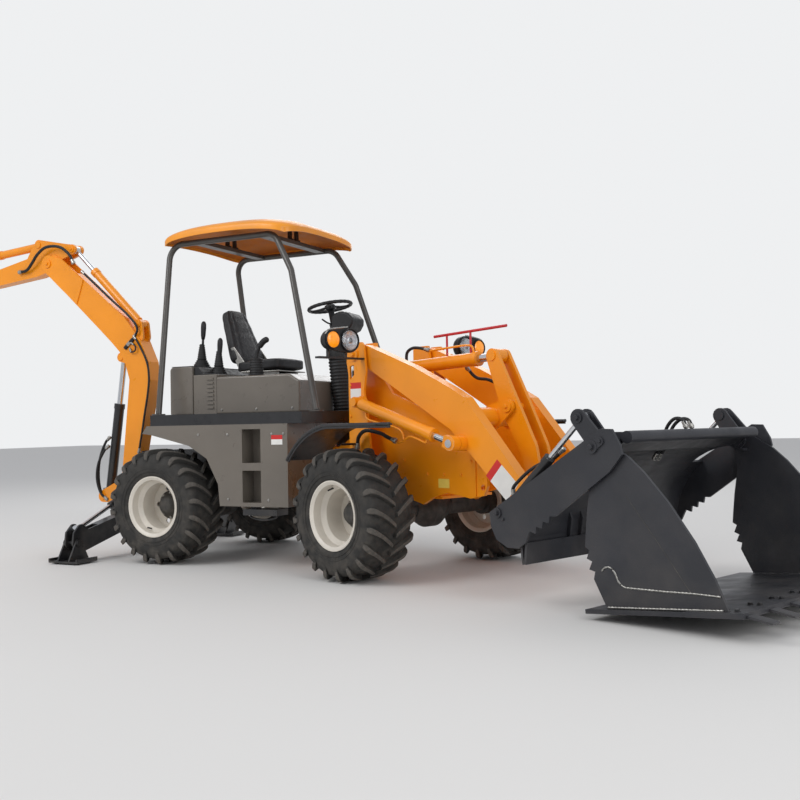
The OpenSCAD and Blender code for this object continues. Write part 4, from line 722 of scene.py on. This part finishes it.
def make_pod(side, tag):
    """The moulded pod round a pair of lamps, and the bright strip over it."""
    pod = Shape()
    # How far forward, and the share of the full outline there
    sections = ((742, 0.55), (756, 0.85), (780, 0.97), (822, 1.0))
    count = 48
    middle = (LAMPS[0][0] + LAMPS[1][0]) / 2
    for x, share in sections:
        for k in range(count):
            a = 2 * math.pi * k / count
            y, radius = LAMPS[0 if math.cos(a) < 0 else 1][:2]
            r = radius + 9
            mid = middle + (y - middle) * share
            pod.verts.append(front(x, side * (mid + r * share * math.cos(a)),
                                   LAMP_Z + r * share * math.sin(a)))
    last = (len(sections) - 1) * count
    pod.faces = ring_faces(len(sections), count)
    pod.faces += [list(range(count)), list(range(last, last + count))[::-1]]
    pod.piece("lamp_pod_" + tag, "plastic", "front_chassis", bevel=0.004)
    strip = Shape()
    line = ((716, 1480), (694, 1503), (655, 1514), (595, 1522), (538, 1528))
    strip.tube([front(LAMP_X - 5, side * y, z) for y, z in line], 0.006)
    strip.piece("lamp_strip_" + tag, "steel", "front_chassis")


def make_lamps():
    forward = front(1, 0, 0) - front(0, 0, 0)
    for side in (-1, 1):
        tag = side_name(side)
        for y, radius, mat in LAMPS:
            r = radius / 1000
            lens = Shape()
            base = front(LAMP_X, side * y, LAMP_Z)
            profile = [(0.0, r)] + [(0.020 * math.sin(math.radians(t)), r * math.cos(math.radians(t)))
                                    for t in (15, 30, 45, 60, 75, 87)]
            lens.lathe(base, forward, profile, 40)
            lens.piece(f"lens_{mat}_{tag}", mat, "front_chassis")
            bezel = Shape()
            if mat == "clear":
                bowl = Shape()
                rings = [(0.0006 + 0.0016 * (k % 2), r * 0.93 * (1 - k / 9)) for k in range(8)]
                bowl.lathe(base, forward, rings + [(0.011, r * 0.1), (0.014, r * 0.05)], 40)
                bowl.piece("reflector_" + tag, "chrome", "front_chassis")
            rim = [(0, r + 0.001), (0.003, r + 0.004), (0.007, r + 0.003), (0.006, r - 0.001), (0, r - 0.002)]
            bezel.lathe(front(LAMP_X + 6, side * y, LAMP_Z), forward, rim, 48, close=False)
            bezel.piece(f"bezel_{mat}_{tag}", "plastic", "front_chassis")
        make_pod(side, tag)


make_lamps()


# Front fenders, and the forged rod eyes of the lift and tilt cylinders

def make_fenders():
    """Fenders with a rolled lip: an arc and a flat wing whose inner corner is cut back."""
    angles = [math.radians(143 - 49 * k / 16) for k in range(17)]
    profile = [(FRONT_AXLE_X + FENDER_R * math.cos(a), TYRE_R + FENDER_R * math.sin(a), a) for a in angles]
    profile += [(x, TYRE_R + FENDER_R, math.pi / 2) for x in (WING_START, 1250, 1350, FENDER_FRONT)]
    sheet = Shape()
    for side in (-1, 1):
        rows = []
        for x, z, a in profile:
            inner = FENDER_IN + max(0, x - WING_START) * WING_CUT
            for y, drop in ((inner, 0), (FENDER_OUT, 0), (FENDER_OUT, 24), (FENDER_OUT - 10, 24),
                            (FENDER_OUT - 10, 8), (inner, 8)):
                rows.append(front(x - drop * math.cos(a), side * y, z - drop * math.sin(a)))
        cells = ring_faces(len(profile), 6)
        sheet.add(rows, cells + [list(range(6)), list(range(len(rows) - 6, len(rows)))[::-1]])
        low, high = sorted((side * (TOWER_OUT_Y - 1), side * (FENDER_IN + 20)))
        sheet.box(front, (645, low, 798), (685, high, 812))
        lip = Shape()
        edge = [front(x, side * (FENDER_OUT - 2), z - 3) for x, z, a in profile]
        tip = front(FENDER_FRONT - 8, side * (FENDER_OUT - 2), TYRE_R + FENDER_R - 3)
        lip.tube(edge[::2] + [edge[-2], tip], 0.0105)
        lip.piece("fender_lip_" + side_name(side), "black", "front_chassis")
    fenders = sheet.piece("fender_sheets", "black", "front_chassis", bevel=0.002)
    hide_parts("front_fenders")


def make_clevis(name, body, eye, base, radius, spans):
    """An orange eye over the plain one, with a neck that takes the rod."""
    eye = Vector(eye)
    along = (Vector(base) - eye).normalized()
    across = Vector((-along.y, along.x))
    turns = [math.radians(a) for a in range(-90, 91, 15)]
    outline = [eye - along * radius * math.cos(a) + across * radius * math.sin(a) for a in turns]
    outline += [eye + along * 52 + across * (radius - 8), eye + along * 52 - across * (radius - 8)]
    shape = Shape()
    for y0, y1 in spans:
        shape.prism(front, outline, y0, y1)
    shape.piece(name, "orange", body, bevel=0.003)


make_fenders()
make_clevis("lift_clevis", "lift_rods", LIFT_EYE, LIFT_BASE, 42, ((-450.2, -389.8), (389.8, 450.2)))
make_clevis("tilt_clevis", "tilt_rod", TILT_EYE, TILT_BASE, 43, ((-36.2, 36.2),))


# Small fittings: bolts on both sides

# What the bolts of a body are painted with, where they aren't bare
NUT_MAT = {"bucket_back": "bucket", "bucket_clam": "bucket", "loader_arms": "orange",
           "front_chassis": "orange", "boom": "orange", "dipper": "orange"}


def make_bolts():
    across = {front: front(0, 1, 0) - front(0, 0, 0), rear: Vector((0, 0.001, 0))}
    # Each row is a body and its bolts as (frame, x, distance from the middle, z, size in mm)
    rows = {
        "bucket_back": [(front, 2754, 740, 804, 14), (front, 2800, 738, 830, 9), (front, 2170, 740, 470, 12),
                        (front, 2206, 730, 440, 8), (front, 2120, 360, 420, 12)],
        "bucket_clam": [(front, 2658, 713, 940, 12)],
        "loader_arms": [(front, 1575, 390, 770, 7), (front, 1705, 100, 1017, 12)],
        "front_chassis": [(front, 680, 379, 1375, 16), (front, 640, 367, 1180, 7), (front, 640, 367, 1080, 7),
                          (front, 640, 367, 980, 7), (front, 1200, 249, 620, 8), (front, 1340, 249, 620, 8),
                          (front, 1480, 249, 620, 8), (front, 1560, 249, 700, 8), (front, 1000, 249, 700, 8)],
        "boom": [(rear, -1712, 55, 1751, 9), (rear, -2640, 78, 2305, 12)],
        "dipper": [(rear, -2395, 58, 2407, 9)],
        "chassis": [(rear, -30, 720, 880, 7), (rear, 60, 720, 880, 7), (rear, -380, 720, 880, 7),
                    (rear, -620, 720, 880, 7), (rear, -60, 720, 450, 7), (rear, -380, 720, 450, 7)],
    }
    for body, bolts in rows.items():
        shape = Shape()
        for at, x, y, z, size in bolts:
            for side in (-1, 1):
                shape.hex_bolt(at(x, side * y, z), across[at] * side, size / 1000)
        shape.piece("bolts_" + body, NUT_MAT.get(body, "steel"), body, smooth=False)


make_bolts()


# Hoses and pipes. Each row: name, body, material, radius in mm, frame, points. A rubber one has a fitting at
# each end. A name that ends in both gives a right and a left piece, and fills in side in the body's name
HOSES = [
    ("tilt_hose", "tilt_barrel", "rubber", 10, front,
     [(838, -58, 1262), (844, -62, 1330), (856, -66, 1386), (905, -64, 1412), (970, -58, 1408),
      (1040, -50, 1390)]),
    ("tilt_hose_front", "tilt_barrel", "rubber", 10, front,
     [(1256, 60, 1272), (1323, 76, 1206), (1395, 105, 1190), (1470, 135, 1150), (1520, 150, 1100)]),
    ("tilt_pipe", "tilt_barrel", "orange", 7, front,
     [(1034, -50, 1386), (1064, -44, 1388), (1200, -34, 1396), (1330, -26, 1402), (1372, -14, 1392),
      (1384, -8, 1350)]),
    ("tower_hose", "front_chassis", "rubber", 9, front,
     [(664, -345, 1306), (656, -355, 1270), (662, -357, 1225), (668, -345, 1186)]),
    ("lift_hose_both", "front_chassis", "rubber", 12, front,
     [(729, -396, 776), (752, -404, 850), (838, -418, 890), (980, -428, 872), (1037, -426, 850),
      (1117, -426, 824)]),
    ("lift_pipe_both", "lift_barrels", "orange", 7, front,
     [(850, -430, 1000), (872, -434, 962), (978, -435, 935), (1106, -435, 911), (1176, -435, 880),
      (1192, -433, 832)]),
    ("lift_pipe_low_both", "lift_barrels", "orange", 7, front,
     [(1128, -427, 816), (1184, -428, 824), (1239, -430, 850), (1300, -430, 838), (1370, -430, 816),
      (1384, -430, 846)]),
    ("boom_hose_a", "boom_barrel", "rubber", 10, rear,
     [(-2012, -46, 870), (-2050, -60, 820), (-2094, -74, 700), (-2102, -84, 560), (-2080, -84, 440),
      (-2030, -78, 380)]),
    ("boom_hose_b", "boom_barrel", "rubber", 10, rear,
     [(-2018, -52, 800), (-2050, -72, 760), (-2096, -90, 660), (-2106, -98, 540), (-2070, -98, 430),
      (-2010, -86, 372)]),
    ("boom_top_hose_a", "boom", "rubber", 9, rear,
     [(-1740, -64, 1640), (-1700, -72, 1716), (-1780, -76, 1818), (-1960, -76, 1962), (-2140, -76, 2110),
      (-2260, -80, 2210)]),
    ("boom_top_hose_b", "boom", "rubber", 8, rear,
     [(-1706, -66, 740), (-1668, -68, 900), (-1640, -68, 1040), (-1606, -68, 1200), (-1592, -68, 1330),
      (-1610, -70, 1450), (-1680, -70, 1580), (-1740, -66, 1660)]),
    ("valve_hose", "boom", "rubber", 6, rear,
     [(-1762, -72, 1606), (-1716, -80, 1580), (-1716, -82, 1540), (-1758, -80, 1532), (-1776, -70, 1560)]),
    ("dipper_hose", "dipper", "rubber", 12, rear,
     [(-2330, -94, 2277), (-2381, -96, 2359), (-2480, -98, 2425), (-2623, -98, 2438), (-2722, -96, 2391),
      (-2799, -88, 2320), (-2871, -76, 2270), (-2969, -66, 2262)]),
    ("leg_hose_both", "leg_barrel_side", "rubber", 8, rear,
     [(-1586, -190, 542), (-1614, -206, 566), (-1640, -260, 562), (-1640, -320, 520), (-1610, -350, 474)]),
    ("clam_hose_both", "bucket_back", "rubber", 9, front,
     [(2190, -622, 545), (2186, -622, 588), (2228, -622, 630), (2290, -622, 676), (2358, -620, 712),
      (2438, -616, 738), (2506, -612, 790)]),
    ("bar_hose_a", "bucket_back", "rubber", 9, front,
     [(2850, -60, 880), (2830, -62, 920), (2780, -58, 925), (2730, -48, 880), (2700, -40, 800),
      (2640, -30, 720)]),
    ("bar_hose_b", "bucket_back", "rubber", 9, front,
     [(2852, -10, 880), (2832, -8, 918), (2784, -4, 922), (2734, -2, 878), (2702, 0, 798), (2642, 2, 718)]),
    ("arm_pipe", "loader_arms", "orange", 6, front,
     [(900, -258, 1290), (1150, -258, 1195), (1460, -258, 1050), (1700, -258, 850), (1960, -258, 560)]),
    ("step_loop_both", "chassis", "black", 7, rear,
     [(-225, -690, 352), (-210, -694, 332), (-120, -696, 318), (-30, -694, 332), (-15, -690, 352)]),
]


def make_hose(name, body, mat, radius, path):
    shape = Shape()
    shape.tube(path, radius / 1000)
    shape.piece(name, mat, body)
    if mat != "rubber":
        return
    ends = Shape()
    for a, b in ((path[0], path[1]), (path[-1], path[-2])):
        r = radius / 1000
        ends.lathe(a, b - a, [(-0.004, r * 1.1), (0.004, r * 1.5), (0.016, r * 1.5), (0.018, r * 1.2),
                              (0.036, r * 1.2), (0.038, r)], 12)
    ends.piece(name + "_ends", "steel", body, smooth=False)


def make_hoses():
    """Every hose of the table, and its mirror image where its name ends in both."""
    for name, body, mat, radius, at, points in HOSES:
        for side, tag in ((1, "right"), (-1, "left"))[:2 if name.endswith("both") else 1]:
            path = [at(x, side * y, z) for x, y, z in points]
            make_hose(name.replace("both", tag), body.replace("side", tag), mat, radius, path)


def make_valve():
    """The small valve block on the side of the boom."""
    along = Vector((0.77, 0, 0.64))
    mid = rear(-1790, -62, 1600)
    block = Shape()
    bands = Shape()
    for shape, reach, half in ((block, 0.055, 0.017), (bands, 0.018, 0.0185)):
        shape.lathe(mid - along * reach, along, [(0, half * 0.9), (0.002, half), (2 * reach - 0.002, half),
                                                 (2 * reach, half * 0.9)], 8)
    block.piece("valve_block", "plastic", "boom", smooth=False, bevel=0.002)
    bands.piece("valve_band", "steel", "boom", smooth=False)


make_valve()
make_hoses()


# Weld beads along the joints of the clam's side plates, a painted highlight along the fold line of each
# plate, and the teeth's bolts

def bead(name, y, points, width, mat="steel"):
    """A lumpy strip along (x, z) points of the clam."""
    shape = Shape()
    pts = [front(x, y, z) for x, z in points]
    steps = []
    for a, b in zip(pts[:-1], pts[1:]):
        n = max(2, int((b - a).length / 0.006))
        steps += [a + (b - a) * i / n for i in range(n)]
    steps.append(pts[-1])
    sides = 8
    verts = []
    for i, p in enumerate(steps):
        d = (steps[min(i + 1, len(steps) - 1)] - steps[max(i - 1, 0)]).normalized()
        u = d.orthogonal().normalized()
        v = d.cross(u)
        r = width * (1 + 0.22 * math.sin(i * 2.1) + 0.1 * math.sin(i * 0.7))
        verts += [p + (u * math.cos(2 * math.pi * k / sides) + v * math.sin(2 * math.pi * k / sides)) * r
                  for k in range(sides)]
    shape.rings(verts, sides, close=False)
    shape.piece(name, mat, "bucket_clam")


def make_beads():
    for side in (-1, 1):
        y = side * (CLAM_SIDE_Y + 0.5)
        tag = side_name(side)
        curve = [(2776, 232), (2790, 248), (2812, 254), (2834, 246), (2850, 224), (2862, 196), (2880, 176),
                 (2904, 168), (3100, 172), (3240, 178), (3370, 178)]
        bead("bead_side_" + tag, y, curve, 0.0045)
        bead("bead_floor_" + tag, y, [(2806, 68), (2950, 81), (3100, 95), (3250, 109), (3380, 121)], 0.0055)
        # The fold line of each side plate is a thin bead in cast iron, paler than the bucket paint: a painted
        # highlight along the bend
        bead("crease_highlight_" + tag, side * CLAM_SIDE_Y, [(2915, 582), (3070, 388), (3226, 183)], 0.0016, "iron")


def make_tooth_bolts():
    """Two bolts on each tooth, along the clam's sloping floor."""
    bolts = Shape()
    c, s = math.cos(CLAM_SLOPE), math.sin(CLAM_SLOPE)
    up = front(-s, 0, c) - front(0, 0, 0)
    for i in range(TOOTH_COUNT):
        y = -TOOTH_Y + i * 2 * TOOTH_Y / (TOOTH_COUNT - 1)
        for along in (590, 634):
            spot = front(CLAM_FLOOR[0] + along * c - 2 * s, y, CLAM_FLOOR[1] + along * s + 2 * c)
            bolts.hex_bolt(spot, up, 0.012)
    bolts.piece("tooth_bolts", "black", "bucket_clam", smooth=False)


make_beads()
make_tooth_bolts()


# Blank plates

def blank_plate(name, body, middle, along, up, width, height, parts):
    """A thin plate in horizontal bands, from the top: (share of the height, material)."""
    along = along.normalized()
    up = up.normalized()
    out = along.cross(up)
    top = height / 2
    for i, (share, mat) in enumerate(parts):
        low = top - height * share
        verts = []
        for d in (0.0003, 0.0012):
            for s, t in ((-1, low), (1, low), (1, top), (-1, top)):
                verts.append(middle + along * s * width / 2 + up * t + out * d)
        mesh = mesh_from(name, verts, [(0, 3, 2, 1), (4, 5, 6, 7), (0, 1, 5, 4), (1, 2, 6, 5), (2, 3, 7, 6),
                                       (3, 0, 4, 7)])
        add_piece(f"{name}_{i}", mesh, mat, body, smooth=False)
        top = low


def make_plates():
    fx = front(1, 0, 0) - front(0, 0, 0)
    rx = Vector((1, 0, 0))
    up = Vector((0, 0, 1))
    slope = (front(1930, 0, 520) - front(1830, 0, 612)).normalized()
    arm_up = (up - slope * up.dot(slope)).normalized()
    two = [(0.45, "label_red"), (0.55, "white")]
    blank_plate("arm_plate", "loader_arms", front(1870, -ARM_OUT_Y, 606), arm_up, -slope, 0.125, 0.200,
                [(0.22, "label_red"), (0.78, "white")])
    blank_plate("panel_plate", "chassis", rear(10, -720, 840), rx, up, 0.085, 0.062, two)
    blank_plate("tower_plate", "front_chassis", front(690, -TOWER_OUT_Y, 1140), fx, up, 0.100, 0.112,
                [(0.35, "label_red"), (0.65, "white")])
    blank_plate("frame_plate", "front_chassis", front(1338, -249, 567), fx, up, 0.090, 0.055,
                [(1, "label_yellow")])


make_plates()


# Floor, light and camera

def make_stage():
    mesh = mesh_from("floor", [(-40, -40, 0), (40, -40, 0), (40, 40, 0), (-40, 40, 0)], [(0, 1, 2, 3)])
    floor = bpy.data.objects.new("floor", mesh)
    bpy.context.scene.collection.objects.link(floor)
    mat = bpy.data.materials.new("pale_floor")
    mat.use_nodes = True
    shader = mat.node_tree.nodes["Principled BSDF"]
    shader.inputs["Base Color"].default_value = (0.72, 0.71, 0.69, 1)
    shader.inputs["Roughness"].default_value = 0.85
    mesh.materials.append(mat)


def make_world():
    world = bpy.data.worlds.new("studio")
    bpy.context.scene.world = world
    world.use_nodes = True
    tree = world.node_tree
    light = tree.nodes["Background"]
    light.inputs["Color"].default_value = (0.93, 0.95, 1.0, 1)
    light.inputs["Strength"].default_value = 0.6
    shown = tree.nodes.new("ShaderNodeBackground")
    shown.inputs["Color"].default_value = (0.86, 0.87, 0.88, 1)
    shown.inputs["Strength"].default_value = 1.0
    path = tree.nodes.new("ShaderNodeLightPath")
    mix = tree.nodes.new("ShaderNodeMixShader")
    tree.links.new(path.outputs["Is Camera Ray"], mix.inputs[0])
    tree.links.new(light.outputs[0], mix.inputs[1])
    tree.links.new(shown.outputs[0], mix.inputs[2])
    tree.links.new(mix.outputs[0], tree.nodes["World Output"].inputs["Surface"])


def make_light(name, place, target, size, power):
    data = bpy.data.lights.new(name, "AREA")
    data.shape = "SQUARE"
    data.size = size
    data.energy = power
    lamp = bpy.data.objects.new(name, data)
    lamp.location = place
    lamp.rotation_euler = (Vector(target) - Vector(place)).to_track_quat("-Z", "Y").to_euler()
    bpy.context.scene.collection.objects.link(lamp)


def make_camera():
    """The photograph's camera: 26.3 degrees round to the front, near the height of the platform."""
    turn = math.radians(26.345)
    pitch = math.radians(1.380)
    roll = math.radians(-1.118)
    look = Vector((-math.sin(turn) * math.cos(pitch), math.cos(turn) * math.cos(pitch), math.sin(pitch)))
    right = Vector((math.cos(turn), math.sin(turn), 0))
    up = right.cross(look)
    right_r = right * math.cos(roll) + up * math.sin(roll)
    up_r = up * math.cos(roll) - right * math.sin(roll)
    data = bpy.data.cameras.new("camera")
    data.lens = 45
    data.sensor_width = 36
    camera = bpy.data.objects.new("camera", data)
    rows = Matrix((right_r, up_r, -look)).transposed().to_4x4()
    camera.matrix_world = Matrix.Translation(Vector((3.5989, -6.1614, 0.926)) + FOOTPRINT / 1000) @ rows
    bpy.context.scene.collection.objects.link(camera)
    bpy.context.scene.camera = camera


make_stage()
make_world()
make_light("key", (-3.5, -7.0, 7.5), (0, 0, 0.8), 5.0, 400)
make_light("fill", (8.0, -4.0, 4.0), (1.5, 0, 0.8), 5.0, 170)
make_light("back", (-2.0, 8.0, 6.0), (0, 0, 1.2), 6.0, 200)
make_camera()
bpy.context.scene.view_settings.view_transform = "Standard"
